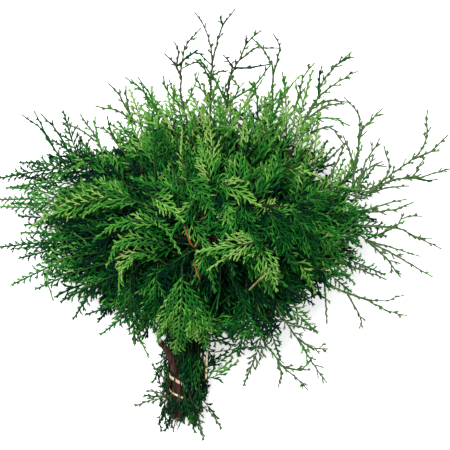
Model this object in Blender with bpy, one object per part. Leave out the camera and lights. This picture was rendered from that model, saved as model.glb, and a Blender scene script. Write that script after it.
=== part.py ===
"""A tied bunch of cut thuja greenery, lying on the surface that it was put down on.

Nine cut stems run side by side through a raffia tie at the foot and fan out into the crown.
The crown is packed from masses of foliage in three rings, one over the other, and every ring is
shared out by bearing round the crown's centre. Leading shoots carry on from the masses to the
furthest tips, and small tufts hang on at the foot. The foot points to -Y, and Z is up from the
surface.
"""

import math
import random

import bmesh
import bpy
from mathutils import Matrix, Vector

# Sizes, in metres, and bearings, in degrees counter-clockwise from +X, seen from above

SEED = 11
SEAT_GAP = 0.0004  # between a piece and what carries it
CONTACT_GAP = 0.0003  # from a mass to the border of its own cell

CROWN_CENTRE = Vector((-0.005, 0.0, 0.0))
CROWN_HEIGHT = 0.178
CROWN_FALL = 0.50  # part of the height lost at the rim
CROWN_RIM = 0.220
FOOT_FALL = 0.28  # part of the height lost towards the foot
FOOT_BEARING = 257.0
FLAT_RADIUS = 0.125  # the crown lies on the surface out to here
FLATTENED = 0.001  # what would be lower than this is pressed flat on the surface
RIM_LIFT = 0.022  # and its underside is this high at the rim
# Reach of the closed foliage from the crown's centre, every 30 degrees from +X
REACH = (0.166, 0.160, 0.150, 0.146, 0.148, 0.168, 0.200, 0.172, 0.150, 0.136, 0.142, 0.140)

CELLS_ROUND = 11
CELL_ANGLE = 360.0 / CELLS_ROUND
SECTION_RADII = (0.080, 0.104)  # where a mass fills its cell and meets its neighbours
SECTION_CORNER = 0.82  # how far the rounded corners of a mass reach into its cell
LUMP = 0.26  # most that a lump's hollow takes off
TIP_FULLNESS = 0.26
DROOP = 0.34  # how far the side masses lean towards the foot at their tips

TIE_CENTRE = Vector((-0.042, -0.159, 0.0))
STEM_RADIUS = 0.0038
MAIN_STEM_RADIUS = 0.0049
STEM_TIP_SHARE = 0.55  # radius where a stem enters its mass, as part of that at the tie
STEM_SIDES = 8
STEM_STATIONS = 10
STRAIGHT_HALF = 0.015  # the stems run parallel for this far to each side of the tie
CUT_LENGTH = 0.040  # from the tie to the cut ends
BUNDLE_PITCH = 0.0085
BUNDLE_ROW = 0.0074
BUNDLE_FLOOR = 0.0056

STRIP_WIDTH = 0.003
STRIP_THICKNESS = 0.001
TIE_SLANT = -0.62  # the strip runs this far along the stems for each metre across them
TIE_POINTS = 28
KNOT_SIZE = Vector((0.0085, 0.0070, 0.0052))
KNOT_SIDES = 8
KNOT_SHOULDER = 0.35  # how far round to the right of the bundle's top the knot sits
TAIL_END = Vector((-0.0175, -0.1330, 0.0330))
TAIL_WIDTH = 0.0034

SHOOT_WIDTH = 0.011
SHOOT_THICKNESS = 0.0055
SHOOT_TIP_SHARE = 0.30
SHOOT_SIDES = 6
SHOOT_STATIONS = 6

BARK = (0.100, 0.033, 0.022)
FOLIAGE_UNDER = (0.010, 0.048, 0.012)
FOLIAGE_MIDDLE = (0.020, 0.090, 0.014)
FOLIAGE_TOP = (0.045, 0.170, 0.020)
FOLIAGE_TIP = (0.110, 0.260, 0.040)
RAFFIA = (0.560, 0.410, 0.190)


class Ring:
    """One ring of masses: its share of the crown's height and the bearings of its cells."""

    def __init__(self, name, middle, half, side, start, colour, inner, reach, sink):
        self.name = name
        self.middle = middle  # height of the cells' middles, as part of the crown's height
        self.half = half  # half height of a cell at its middle bearing
        self.side = side  # half height of a cell at its sides
        self.start = start  # inner radius of the masses
        self.colour = colour
        self.inner = inner  # fullness of the inner end
        self.reach = reach  # reach as part of the crown's
        self.sink = sink  # how far the inner end lies below the middle, in half heights


UNDER = Ring("under_mass", 0.16, 0.20, 0.12, 0.045, FOLIAGE_UNDER, 0.42, 1.00, 0.0)
MIDDLE = Ring("middle_mass", 0.48, 0.20, 0.12, 0.045, FOLIAGE_MIDDLE, 0.42, 0.95, 0.3)
TOP = Ring("top_mass", 0.80, 0.20, 0.12, 0.022, FOLIAGE_TOP, 0.40, 0.80, 0.9)


def up_axis(height):
    return Vector((0.0, 0.0, height))


def direction(bearing):
    angle = math.radians(bearing)
    return Vector((math.cos(angle), math.sin(angle), 0.0))


def smooth(value):
    """Rises from 0 to 1 with level ends."""
    value = min(1.0, max(0.0, value))
    return value * value * (3.0 - 2.0 * value)


def crown_reach(bearing):
    """The closed foliage's reach at a bearing, eased between the measured ones."""
    step = 360.0 / len(REACH)
    index, rest = divmod(bearing % 360.0, step)
    before = REACH[int(index)]
    after = REACH[(int(index) + 1) % len(REACH)]
    return before + (after - before) * smooth(rest / step)


def crown_height(radius, bearing, share):
    """Height above the surface of a share of the crown's thickness, at a place in the crown."""
    towards_foot = max(0.0, math.cos(math.radians(bearing - FOOT_BEARING)))
    top = CROWN_HEIGHT * (1.0 - CROWN_FALL * (radius / CROWN_RIM) ** 2)
    top *= 1.0 - FOOT_FALL * towards_foot * smooth(radius / 0.08)
    low = RIM_LIFT * smooth((radius - FLAT_RADIUS) / (CROWN_RIM - FLAT_RADIUS))
    return max(0.0, low + share * (top - low))


def principled(name, colour, roughness):
    material = bpy.data.materials.new(name)
    material.use_nodes = True
    shader = material.node_tree.nodes["Principled BSDF"]
    shader.inputs["Base Color"].default_value = (*colour, 1.0)
    shader.inputs["Roughness"].default_value = roughness
    shader.inputs["Metallic"].default_value = 0.0
    return material


def loft(name, loops, material, closed=False):
    """A closed body through loops of points, with flat ends or, if closed, joined into a ring."""
    body = bmesh.new()
    rings = []
    for loop in loops:
        points = [body.verts.new(point) for point in loop]
        edges = [body.edges.new(pair) for pair in zip(points, points[1:] + points[:1])]
        rings.append((points, edges))
    pairs = list(zip(rings, rings[1:]))
    if closed:
        pairs.append((rings[-1], rings[0]))
    for (_, near), (_, far) in pairs:
        bmesh.ops.bridge_loops(body, edges=near + far)
    if not closed:
        for points, _ in (rings[0], rings[-1]):
            body.faces.new(points)
    bmesh.ops.recalc_face_normals(body, faces=body.faces)
    mesh = bpy.data.meshes.new(name)
    body.to_mesh(mesh)
    body.free()
    mesh.shade_smooth()
    mesh.set_sharp_from_angle(angle=math.radians(55.0))
    mesh.materials.append(material)
    piece = bpy.data.objects.new(name, mesh)
    bpy.context.scene.collection.objects.link(piece)
    return piece


class Mass:
    """One mass of foliage: a lumpy wedge that widens from its inner end and narrows to its tip."""

    def __init__(self, ring, bearing, number, dice):
        self.ring = ring
        self.bearing = bearing
        self.name = f"{ring.name}_{number:02d}"
        self.tip_radius = crown_reach(bearing) * ring.reach * dice.uniform(0.95, 1.05)
        self.turn = dice.uniform(-0.30, 0.30)
        self.dip = dice.uniform(-0.35, 0.35)
        self.dice = dice

    def lean(self):
        """Sideways lean of the tip: the masses at the sides droop towards the foot."""
        across = math.sin(math.radians(FOOT_BEARING - self.bearing))
        return DROOP * across + self.turn

    def point(self, radius, across, share):
        """A place in the cell: across is -1 to 1 between its borders at this radius."""
        outward = direction(self.bearing)
        sideways = Vector((-outward.y, outward.x, 0.0))
        half_width = radius * math.tan(math.radians(CELL_ANGLE / 2)) - CONTACT_GAP
        offset = outward * radius + sideways * (across * half_width)
        bearing = math.degrees(math.atan2(offset.y, offset.x))
        return CROWN_CENTRE + offset + up_axis(crown_height(offset.length, bearing, share))

    def loop(self, radius, fullness, shift, sink, lumpy):
        """A rounded hexagon that fits the cell, clear of the masses above, below and beside."""
        ring = self.ring
        corners = ((0.0, ring.half), (1.0, ring.side), (1.0, -ring.side))
        corners += tuple((-across, -share) for across, share in corners)
        points = []
        spare = 1.0 - fullness
        for index, (across, share) in enumerate(corners):
            after = corners[(index + 1) % len(corners)]
            middle = ((across + after[0]) / 2, (share + after[1]) / 2)
            for (u, w), reach in (((across, share), SECTION_CORNER), (middle, 1.0)):
                if lumpy:
                    reach *= 1.0 - LUMP * self.dice.random()
                reach *= fullness
                side = u * reach + shift * spare
                part = ring.middle + w * reach - sink * spare * ring.half
                points.append(self.point(radius, side, part) + self.clearance(w))
        return points

    @staticmethod
    def clearance(height):
        """Draws a point back from the ring above or below, but not from the flat underside."""
        return up_axis(-math.copysign(CONTACT_GAP, height) if height else 0.0)

    def inner_centre(self):
        """Middle of the inner end, where a stem can enter."""
        ring = self.ring
        spare = 1.0 - ring.inner
        return self.point(ring.start, 0.0, ring.middle - ring.sink * spare * ring.half)

    def tip_centre(self):
        spare = 1.0 - TIP_FULLNESS
        side = self.lean() * spare
        share = self.ring.middle - self.dip * spare * self.ring.half
        return self.point(self.tip_radius, side, share)

    def build(self, material):
        ring = self.ring
        start, full_a, full_b = ring.start, *SECTION_RADII
        loops = [self.loop(start, ring.inner, 0.0, ring.sink, False)]
        first = start + (full_a - start) * 0.45
        loops.append(self.loop(first, 0.80, 0.0, ring.sink, True))
        loops.append(self.loop(full_a, 1.0, 0.0, 0.0, False))
        loops.append(self.loop(full_b, 1.0, 0.0, 0.0, False))
        for part, fullness in ((0.42, 0.88), (0.74, 0.62), (0.92, 0.42)):
            radius = full_b + (self.tip_radius - full_b) * part
            loops.append(self.loop(radius, fullness, self.lean(), self.dip, True))
        loops.append(self.loop(self.tip_radius, TIP_FULLNESS, self.lean(), self.dip, False))
        for point in (point for loop in loops for point in loop):
            if point.z < FLATTENED:
                point.z = 0.0
        return loft(self.name, loops, material)


def make_masses(dice):
    """The masses of the three rings. The two lower rings leave a channel for the stems."""
    opposite = FOOT_BEARING - 180.0
    masses = {}
    for ring, first, count in ((UNDER, -4.0, 9), (MIDDLE, -3.5, 8), (TOP, -5.0, 11)):
        material = principled(ring.name, ring.colour, 0.75)
        for number in range(count):
            bearing = opposite + CELL_ANGLE * (first + number)
            mass = Mass(ring, bearing, number + 1, dice)
            mass.build(material)
            masses[mass.name] = mass
    return masses


def hermite(start, start_pull, end, end_pull, part):
    """A point on the cubic from start to end that leaves and arrives along the pulls."""
    square, cube = part * part, part**3
    place = start * (2 * cube - 3 * square + 1) + start_pull * (cube - 2 * square + part)
    return place + end * (3 * square - 2 * cube) + end_pull * (cube - square)


def sweep(route, radii, sides, flatness=1.0, up=Vector((0.0, 0.0, 1.0)), ends=(None, None)):
    """Loops round a route: ellipses that are flatness as high as they are wide."""
    loops = []
    last = len(route) - 1
    for index, (place, radius) in enumerate(zip(route, radii)):
        along = route[min(index + 1, last)] - route[max(index - 1, 0)]
        if index == 0 and ends[0] is not None:
            along = ends[0]
        if index == last and ends[1] is not None:
            along = ends[1]
        along = along.normalized()
        across = along.cross(up).normalized()
        above = across.cross(along)
        loop = []
        for side in range(sides):
            angle = 2 * math.pi * (side + 0.5) / sides
            offset = across * math.cos(angle) + above * (math.sin(angle) * flatness)
            loop.append(place + offset * radius)
        loops.append(loop)
    return loops


class Stem:
    """One cut stem: straight through the tie, then rising and fanning out to its mass."""

    def __init__(self, name, across, row, goal, radius=STEM_RADIUS, length=CUT_LENGTH, bow=0.0):
        self.name = name
        self.across = across * BUNDLE_PITCH
        self.height = BUNDLE_FLOOR + row * BUNDLE_ROW
        self.goal = goal
        self.radius = radius
        self.length = length
        self.bow = bow  # sideways bow between the tie and the crown

    def at_tie(self, along):
        """The stem's axis where it runs parallel to the others, along metres past the tie."""
        return TIE_CENTRE + Vector((self.across, along, self.height))

    def build(self, masses, material):
        mass = masses[self.goal]
        target = mass.inner_centre()
        leave = self.at_tie(STRAIGHT_HALF)
        reach = (target - leave).length
        outward = direction(mass.bearing)
        arrive = (outward * 0.6 + (target - leave).normalized() * 0.5).normalized()
        tip_radius = self.radius * STEM_TIP_SHARE
        tilt = math.sqrt(max(0.0, 1.0 - arrive.dot(outward) ** 2))
        clear = (SEAT_GAP + tip_radius * tilt) / max(0.3, arrive.dot(outward))
        end = target - arrive * clear
        cut = self.at_tie(-self.length) + Vector((self.across * 0.22, 0.0, 0.0))
        route = [cut, self.at_tie(-STRAIGHT_HALF), self.at_tie(0.0)]
        for step in range(STEM_STATIONS - 2):
            part = step / (STEM_STATIONS - 3)
            place = hermite(
                leave, Vector((0.0, reach, 0.0)), end, arrive * (reach * 0.8), part
            )
            place.x += self.bow * math.sin(math.pi * part) ** 2
            route.append(place)
        last = len(route) - 1
        radii = [
            self.radius * (1.04 - (1.04 - STEM_TIP_SHARE) * (index / last) ** 1.4)
            for index in range(last + 1)
        ]
        loops = sweep(route, radii, STEM_SIDES, ends=(Vector((0.0, 1.0, 0.0)), arrive))
        return loft(self.name, loops, material)


STEMS = (
    Stem("stem_01", -1.5, 0.0, "under_mass_08", length=0.038),
    Stem("stem_02", -0.5, 0.0, "under_mass_06", length=0.044),
    Stem("stem_03", 0.5, 0.0, "under_mass_04", length=0.041),
    Stem("stem_04", 1.5, 0.0, "under_mass_03", length=0.036),
    Stem("stem_05", -1.0, 1.0, "middle_mass_07", length=0.042),
    Stem("stem_06", 0.0, 1.0, "middle_mass_05", length=0.039),
    Stem("stem_07", 1.0, 1.0, "middle_mass_03", length=0.043),
    Stem("main_stem", -0.62, 2.24, "top_mass_08", MAIN_STEM_RADIUS, 0.040, -0.012),
    Stem("stem_08", 0.55, 2.02, "top_mass_05", length=0.037),
)


def tie_outline():
    """Points round the bundle at the tie: the smallest band that clears every stem."""
    discs = [(stem.across, stem.height, stem.radius) for stem in STEMS]
    middle = Vector((0.0, BUNDLE_FLOOR + BUNDLE_ROW))
    outline = []
    for index in range(TIE_POINTS):
        angle = 2 * math.pi * index / TIE_POINTS
        way = Vector((math.cos(angle), math.sin(angle)))
        reach = max(
            (Vector((x, z)) - middle).dot(way) + radius + SEAT_GAP for x, z, radius in discs
        )
        outline.append((way, reach))
    points = []
    turn = 2 * math.pi / TIE_POINTS
    for (way, reach), (after, after_reach) in zip(outline, outline[1:] + outline[:1]):
        # The corner where this tangent line meets the next one
        along = (after_reach - reach * math.cos(turn)) / math.sin(turn)
        points.append(middle + way * reach + Vector((-way.y, way.x)) * along)
    return points


def make_tie(material):
    """A flat strip round the bundle at a slant, its knot on top and one loose end."""
    outline = tie_outline()
    centre = sum(outline, Vector((0.0, 0.0))) / len(outline)
    loops = []
    for point in outline:
        outer = point + (point - centre).normalized() * STRIP_THICKNESS
        loop = []
        for place, edge in ((point, -1), (outer, -1), (outer, 1), (point, 1)):
            along = TIE_SLANT * place.x + edge * STRIP_WIDTH / 2
            loop.append(TIE_CENTRE + Vector((place.x, along, max(0.0, place.y))))
        loops.append(loop)
    loft("tie_band", loops, material, closed=True)
    top = max(outline, key=lambda point: point.y + KNOT_SHOULDER * point.x)
    seat = top.y + STRIP_THICKNESS + 2 * SEAT_GAP
    knot = TIE_CENTRE + Vector((top.x, TIE_SLANT * top.x, seat))
    make_knot(knot, material)
    make_tail(knot, material)
    return knot


def make_knot(seat, material):
    """A small uneven lump that sits on the strip."""
    loops = []
    for height, width in ((0.0, 0.62), (0.28, 0.96), (0.66, 1.0), (1.0, 0.55)):
        loop = []
        for side in range(KNOT_SIDES):
            angle = 2 * math.pi * side / KNOT_SIDES
            swell = width * (1.0 + 0.10 * math.sin(3 * angle + 5 * height))
            x = math.cos(angle) * swell * KNOT_SIZE.x / 2
            y = math.sin(angle) * swell * KNOT_SIZE.y / 2
            loop.append(seat + Vector((x, y, height * KNOT_SIZE.z)))
        loops.append(loop)
    loft("tie_knot", loops, material)


def make_tail(seat, material):
    """The strip's loose end, from above the knot's side up to its square cut."""
    start = seat + Vector((KNOT_SIZE.x / 2 + 0.0012, 0.001, KNOT_SIZE.z * 0.62))
    rise = Vector((0.004, 0.012, 0.006))
    route = [
        hermite(start, rise * 1.5, TAIL_END, Vector((0.001, 0.016, 0.001)), step / 4)
        for step in range(5)
    ]
    loops = sweep(route, [TAIL_WIDTH / 2] * 5, 4, flatness=0.34)
    loft("tie_tail", loops, material)


def slender(name, route, material, width=SHOOT_WIDTH, ends=(None, None)):
    """A flat shoot along a route, from its full width to its tip."""
    last = len(route) - 1
    radii = []
    for index in range(last + 1):
        part = index / last
        swell = 0.62 + 0.38 * smooth(part / 0.35)
        taper = 1.0 - (1.0 - SHOOT_TIP_SHARE) * smooth((part - 0.35) / 0.65)
        radii.append(width / 2 * swell * taper)
    flatness = SHOOT_THICKNESS / SHOOT_WIDTH
    return loft(name, sweep(route, radii, SHOOT_SIDES, flatness, ends=ends), material)


# Each leading shoot: the mass that it carries on from, its tip's bearing and reach from the
# crown's centre, and its tip's height
SHOOTS = (
    ("middle_mass_05", 96.0, 0.211, 0.080),
    ("top_mass_06", 86.5, 0.213, 0.118),
    ("under_mass_05", 73.0, 0.193, 0.040),
    ("middle_mass_04", 52.7, 0.211, 0.078),
    ("middle_mass_03", 27.9, 0.235, 0.070),
    ("under_mass_03", 13.4, 0.236, 0.040),
    ("middle_mass_02", -4.9, 0.213, 0.066),
    ("under_mass_02", -13.4, 0.216, 0.036),
    ("middle_mass_01", -25.4, 0.205, 0.056),
    ("under_mass_01", -55.9, 0.187, 0.026),
    ("under_mass_07", 151.0, 0.223, 0.044),
    ("under_mass_08", 178.0, 0.222, 0.030),
    ("middle_mass_08", 194.0, 0.216, 0.060),
    ("under_mass_09", 208.0, 0.194, 0.022),
)


def make_shoots(masses, material):
    for number, (carrier, bearing, reach, height) in enumerate(SHOOTS, 1):
        mass = masses[carrier]
        outward = direction(mass.bearing)
        start = mass.tip_centre() + outward * SEAT_GAP
        tip = CROWN_CENTRE + direction(bearing) * reach + up_axis(height)
        length = (tip - start).length
        bend = Vector((0.0, 0.0, -0.25)) + (tip - start).normalized()
        route = [
            hermite(start, outward * length, tip, bend * length, step / (SHOOT_STATIONS - 1))
            for step in range(SHOOT_STATIONS)
        ]
        slender(f"leading_shoot_{number:02d}", route, material, ends=(outward, None))


# Each tuft at the foot: a place beside the bundle, the point where it turns away and its tip,
# in millimetres from the tie's centre
TUFTS = (
    ("foot_tuft_left", (-18.0, -17.0, 8.0), (-24.0, -21.0, 9.0), (-43.0, -18.0, 6.0)),
    ("foot_tuft_low_left", (-20.5, -24.0, 12.2), (-21.0, -37.0, 12.2), (-19.0, -53.0, 6.0)),
    ("foot_tuft_lowest", (7.5, -22.0, 28.0), (8.5, -40.0, 29.8), (20.0, -62.0, 10.0)),
    ("foot_tuft_right", (19.0, -23.0, 10.0), (26.0, -31.0, 10.0), (35.0, -44.0, 6.0)),
    ("foot_sprig", (15.0, 3.0, 11.7), (19.4, 13.0, 12.0), (48.0, 29.0, 22.0)),
)
TUFT_WIDTH = 0.010


def make_tufts(material):
    for name, *places in TUFTS:
        start, turn, tip = (TIE_CENTRE + Vector(place) / 1000 for place in places)
        pull = (turn - start).normalized() * (tip - start).length
        away = (tip - turn).normalized() * (tip - start).length
        route = [hermite(start, pull, tip, away, step / 4) for step in range(5)]
        slender(name, route, material, width=TUFT_WIDTH)


def centre_on_origin():
    """Moves the whole bunch so that the origin is under the middle of its box, on the surface."""
    meshes = [piece.data for piece in bpy.context.scene.objects]
    places = [vertex.co for mesh in meshes for vertex in mesh.vertices]
    low = Vector(map(min, zip(*places)))
    high = Vector(map(max, zip(*places)))
    shift = Vector((-(low.x + high.x) / 2, -(low.y + high.y) / 2, -low.z))
    for mesh in meshes:
        mesh.transform(Matrix.Translation(shift))


def main():
    for piece in list(bpy.data.objects):
        bpy.data.objects.remove(piece)
    dice = random.Random(SEED)
    masses = make_masses(dice)
    bark = principled("bark", BARK, 0.8)
    for stem in STEMS:
        stem.build(masses, bark)
    make_tie(principled("raffia", RAFFIA, 0.65))
    tips = principled("foliage_tip", FOLIAGE_TIP, 0.75)
    make_shoots(masses, tips)
    make_tufts(tips)
    centre_on_origin()


main()
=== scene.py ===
"""Looks of a tied bunch of cut thuja greenery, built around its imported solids.

Nine cut stems run through a raffia tie and fan out into the crown. Each mass of foliage is
grown again as a bough with flat sprays, each spray as an axis with side shoots, and each side
shoot as a row of scale-leaf branchlets. Everything is in metres, with +Z up from the surface
that the bunch lies on, and the foot of the bunch points to -Y.
"""

from __future__ import annotations

import logging
import math
from dataclasses import dataclass, field
from enum import Enum
from typing import Callable, Iterable, Sequence

import bpy
import numpy as np
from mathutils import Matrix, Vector, noise

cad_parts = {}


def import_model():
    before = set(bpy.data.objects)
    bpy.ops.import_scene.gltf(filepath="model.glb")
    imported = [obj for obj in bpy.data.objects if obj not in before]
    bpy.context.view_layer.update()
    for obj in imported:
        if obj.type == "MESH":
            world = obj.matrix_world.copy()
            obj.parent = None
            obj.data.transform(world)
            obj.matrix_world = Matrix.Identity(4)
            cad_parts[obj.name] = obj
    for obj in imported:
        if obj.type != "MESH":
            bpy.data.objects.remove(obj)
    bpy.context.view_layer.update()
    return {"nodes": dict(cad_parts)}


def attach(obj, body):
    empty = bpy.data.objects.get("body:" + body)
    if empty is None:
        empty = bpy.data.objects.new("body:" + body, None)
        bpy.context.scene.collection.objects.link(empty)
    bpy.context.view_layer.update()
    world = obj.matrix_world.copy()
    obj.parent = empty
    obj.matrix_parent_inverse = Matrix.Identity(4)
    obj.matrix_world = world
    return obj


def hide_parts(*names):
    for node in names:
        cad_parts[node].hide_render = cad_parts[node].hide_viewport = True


log = logging.getLogger("thuja_bunch")

SEED = 2026
UP = np.array((0.0, 0.0, 1.0))
TIE_CENTRE = np.array((-0.0409, -0.1546, 0.0))
CROWN_CENTRE = np.array((-0.0039, 0.0044, 0.0))
BODY = "root"


class Tone(Enum):
    """A plain foliage colour that is dealt out by spray and branchlet. SHADE is painted shade, and a
    step along TONE_ORDER often stands for painted light or painted shade.
    """

    SHADE = "shade"
    DEEP = "deep"
    GREEN = "green"
    FRESH = "fresh"
    BRIGHT = "bright"
    LIME = "lime"
    BRONZE = "bronze"
    OLIVE = "olive"


TONE_ORDER = (Tone.SHADE, Tone.DEEP, Tone.GREEN, Tone.FRESH, Tone.BRIGHT, Tone.LIME)


def unit(vector: np.ndarray) -> np.ndarray:
    """Scales a vector, or each row of an array of vectors, to length 1.

    Args:
        vector: One vector, or rows of vectors.

    Returns:
        The same directions at unit length.
    """
    length = np.linalg.norm(vector, axis=-1, keepdims=True)
    return vector / np.maximum(length, 1e-9)


def turned(vector: np.ndarray, axis: np.ndarray, angle: float) -> np.ndarray:
    """Turns a vector about a unit axis.

    Args:
        vector: The vector to turn.
        axis: Unit axis of the turn.
        angle: Angle in radians, by the right-hand rule.

    Returns:
        The turned vector.
    """
    cos, sin = math.cos(angle), math.sin(angle)
    across = np.cross(axis, vector)
    return vector * cos + across * sin + axis * (float(axis @ vector) * (1.0 - cos))


def square_to(vector: np.ndarray, along: np.ndarray) -> np.ndarray:
    """The part of a vector that is square to a direction, at unit length."""
    return unit(vector - along * float(vector @ along))


def smooth(value: float) -> float:
    """Rises from 0 to 1 with level ends."""
    value = min(1.0, max(0.0, value))
    return value * value * (3.0 - 2.0 * value)


def along_route(route: np.ndarray, count: int) -> np.ndarray:
    """Reads evenly spaced points from a smooth curve through a few points.

    Args:
        route: Points that the curve passes through.
        count: Number of points to read.

    Returns:
        The points read, as rows.
    """
    ends = np.vstack((2 * route[0] - route[1], route, 2 * route[-1] - route[-2]))
    steps = np.linalg.norm(np.diff(route, axis=0), axis=1)
    reached = np.concatenate(((0.0,), np.cumsum(steps)))
    places = []
    for mark in np.linspace(0.0, reached[-1], count):
        span = min(int(np.searchsorted(reached, mark, side="right")) - 1, len(steps) - 1)
        t = (mark - reached[span]) / steps[span]
        a, b, c, d = ends[span : span + 4]
        place = 2 * b + (c - a) * t + (2 * a - 5 * b + 4 * c - d) * t**2
        places.append((place + (3 * b - a - 3 * c + d) * t**3) / 2)
    return np.array(places)


def node_points(node: str) -> np.ndarray:
    """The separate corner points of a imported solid, as rows."""
    mesh = bpy.data.objects[node].data
    points = np.array([vertex.co for vertex in mesh.vertices], float).reshape(-1, 3)
    return np.unique(np.round(points, 6), axis=0)


def ring_middles(node: str, sides: int, start: Callable[[np.ndarray], np.ndarray]) -> np.ndarray:
    """Walks along a solid that is made of rings, from the ring where it starts.

    Args:
        node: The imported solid's name.
        sides: Number of corners in each ring.
        start: Gives each point's distance from where the solid starts.

    Returns:
        The middles of the rings in order, as rows.
    """
    left = node_points(node)
    order = np.argsort(start(left))[:sides]
    middles = []
    while True:
        middles.append(left[order].mean(axis=0))
        left = np.delete(left, order, axis=0)
        if len(left) < sides:
            return np.array(middles)
        order = np.argsort(np.linalg.norm(left - middles[-1], axis=1))[:sides]


@dataclass(frozen=True)
class Photo:
    """The photograph's frame, laid over the bunch at one height."""

    pixels: int = 450
    metres_per_pixel: float = 0.001
    centre: tuple[float, float] = (0.0011, 0.0044)
    middle_height: float = 0.070
    lens: float = 120.0
    sensor: float = 36.0

    @property
    def distance(self) -> float:
        """From the camera down to the height that the scale holds at."""
        return self.pixels * self.metres_per_pixel * self.lens / self.sensor

    def place(self, x: float, y: float, height: float) -> np.ndarray:
        """The point at a height that the camera shows at a pixel.

        Args:
            x: Pixels from the picture's left edge.
            y: Pixels from the picture's top edge.
            height: Height of the point above the surface, in metres.

        Returns:
            The point in the row frame.
        """
        nearer = (self.distance + self.middle_height - height) / self.distance
        scale = self.metres_per_pixel * nearer
        half = self.pixels / 2
        across = self.centre[0] + (x - half) * scale
        along = self.centre[1] + (half - y) * scale
        return np.array((across, along, height))


PHOTO = Photo()


class Sock:
    """A shader socket in an expression: arithmetic on it adds the Math nodes."""

    def __init__(self, shop: NodeShop, source: bpy.types.NodeSocket | float) -> None:
        self.shop = shop
        self.source = source

    def _math(self, operation: str, first: object, second: object) -> Sock:
        """Adds one Math node.

        Args:
            operation: The node's operation.
            first: A Sock or a number.
            second: A Sock or a number.

        Returns:
            The node's result.
        """
        settings = {"operation": operation}
        return self.shop.add("ShaderNodeMath", settings, {0: first, 1: second}, 0)

    def __add__(self, other: object) -> Sock:
        """Adds."""
        return self._math("ADD", self, other)

    __radd__ = __add__

    def __sub__(self, other: object) -> Sock:
        """Takes away."""
        return self._math("SUBTRACT", self, other)

    def __rsub__(self, other: object) -> Sock:
        """Is taken from a number."""
        return self._math("SUBTRACT", other, self)

    def __mul__(self, other: object) -> Sock:
        """Multiplies."""
        return self._math("MULTIPLY", self, other)

    __rmul__ = __mul__


class NodeShop:
    """Builds one material's nodes round its Principled shader."""

    def __init__(self, name: str) -> None:
        self.material = bpy.data.materials.new(name)
        self.material.use_nodes = True
        self.tree = self.material.node_tree
        self.shader = self.tree.nodes["Principled BSDF"]

    def add(self, kind: str, settings: dict, inputs: dict, output: int | str) -> Sock:
        """Adds one node.

        Args:
            kind: The node's type.
            settings: Its properties, set before its sockets.
            inputs: Values or links by socket name or number.
            output: The output that the result stands for.

        Returns:
            The chosen output.
        """
        node = self.tree.nodes.new(kind)
        for key, value in settings.items():
            if key == "stops":
                self._ramp(node.color_ramp, value)
            else:
                setattr(node, key, value)
        for key, value in inputs.items():
            self.feed(node.inputs[key], value)
        return Sock(self, node.outputs[output])

    @staticmethod
    def _ramp(ramp: bpy.types.ColorRamp, stops: Sequence[tuple[float, tuple]]) -> None:
        """Gives a colour ramp its stops."""
        while len(ramp.elements) < len(stops):
            ramp.elements.new(0.5)
        for element, (position, colour) in zip(ramp.elements, stops):
            element.position = position
            element.color = (*colour, 1.0)

    def feed(self, socket: bpy.types.NodeSocket, value: object) -> None:
        """Links a Sock to a socket, or sets the socket's own value."""
        if isinstance(value, Sock):
            self.tree.links.new(value.source, socket)
        else:
            socket.default_value = value

    def dress(self, **sockets: object) -> bpy.types.Material:
        """Feeds the Principled shader, with underscores for the spaces in socket names.

        Args:
            sockets: Values or links by socket name.

        Returns:
            The finished material.
        """
        for name, value in sockets.items():
            self.feed(self.shader.inputs[name.replace("_", " ")], value)
        return self.material

    def mottle(self, scale: float, detail: float, stretch: tuple = (1.0, 1.0, 1.0)) -> Sock:
        """Soft noise over the object's own coordinates, from 0 to 1."""
        where = self.add("ShaderNodeTexCoord", {}, {}, "Object")
        spread = self.add("ShaderNodeMapping", {}, {"Vector": where, "Scale": stretch}, 0)
        inputs = {"Vector": spread, "Scale": scale, "Detail": detail}
        return self.add("ShaderNodeTexNoise", {}, inputs, 0)

    def blend(self, factor: Sock, low: tuple, high: tuple) -> Sock:
        """Mixes two plain colours by a pattern."""
        settings = {"data_type": "RGBA"}
        inputs = {0: factor, 6: (*low, 1.0), 7: (*high, 1.0)}
        return self.add("ShaderNodeMix", settings, inputs, 2)

    def bump(self, height: Sock, strength: float, depth: float) -> Sock:
        """Turns a height pattern into a normal."""
        inputs = {"Height": height, "Strength": strength, "Distance": depth}
        return self.add("ShaderNodeBump", {}, inputs, 0)


@dataclass(frozen=True)
class FoliageFinish:
    """Scale leaves: one plain green with a little mottling and a waxy, uneven shine."""

    name: str
    colour: tuple[float, float, float]
    roughness: float = 0.55

    def make(self) -> bpy.types.Material:
        """Builds the material."""
        shop = NodeShop(self.name)
        patches = shop.mottle(95.0, 2.0)
        low = tuple(value * 0.78 for value in self.colour)
        high = tuple(value * 1.18 for value in self.colour)
        shine = patches * 0.16 + (self.roughness - 0.08)
        scales = shop.mottle(900.0, 1.0)
        return shop.dress(
            Base_Color=shop.blend(patches, low, high),
            Roughness=shine,
            Specular_IOR_Level=0.03,
            Normal=shop.bump(scales, 0.25, 0.0004),
        )


@dataclass(frozen=True)
class BarkFinish:
    """Reddish bark with long grey fibres and fine cracks."""

    name: str
    dark: tuple[float, float, float]
    light: tuple[float, float, float]
    grain: float = 260.0

    def make(self) -> bpy.types.Material:
        """Builds the material."""
        shop = NodeShop(self.name)
        fibres = shop.mottle(self.grain, 5.0, (1.0, 0.12, 1.0))
        ramp = shop.add(
            "ShaderNodeValToRGB",
            {"stops": ((0.34, self.dark), (0.68, self.light))},
            {"Fac": fibres},
            0,
        )
        return shop.dress(
            Base_Color=ramp,
            Roughness=0.95 - fibres * 0.25,
            Specular_IOR_Level=0.22,
            Normal=shop.bump(fibres, 0.7, 0.0012),
        )


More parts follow.
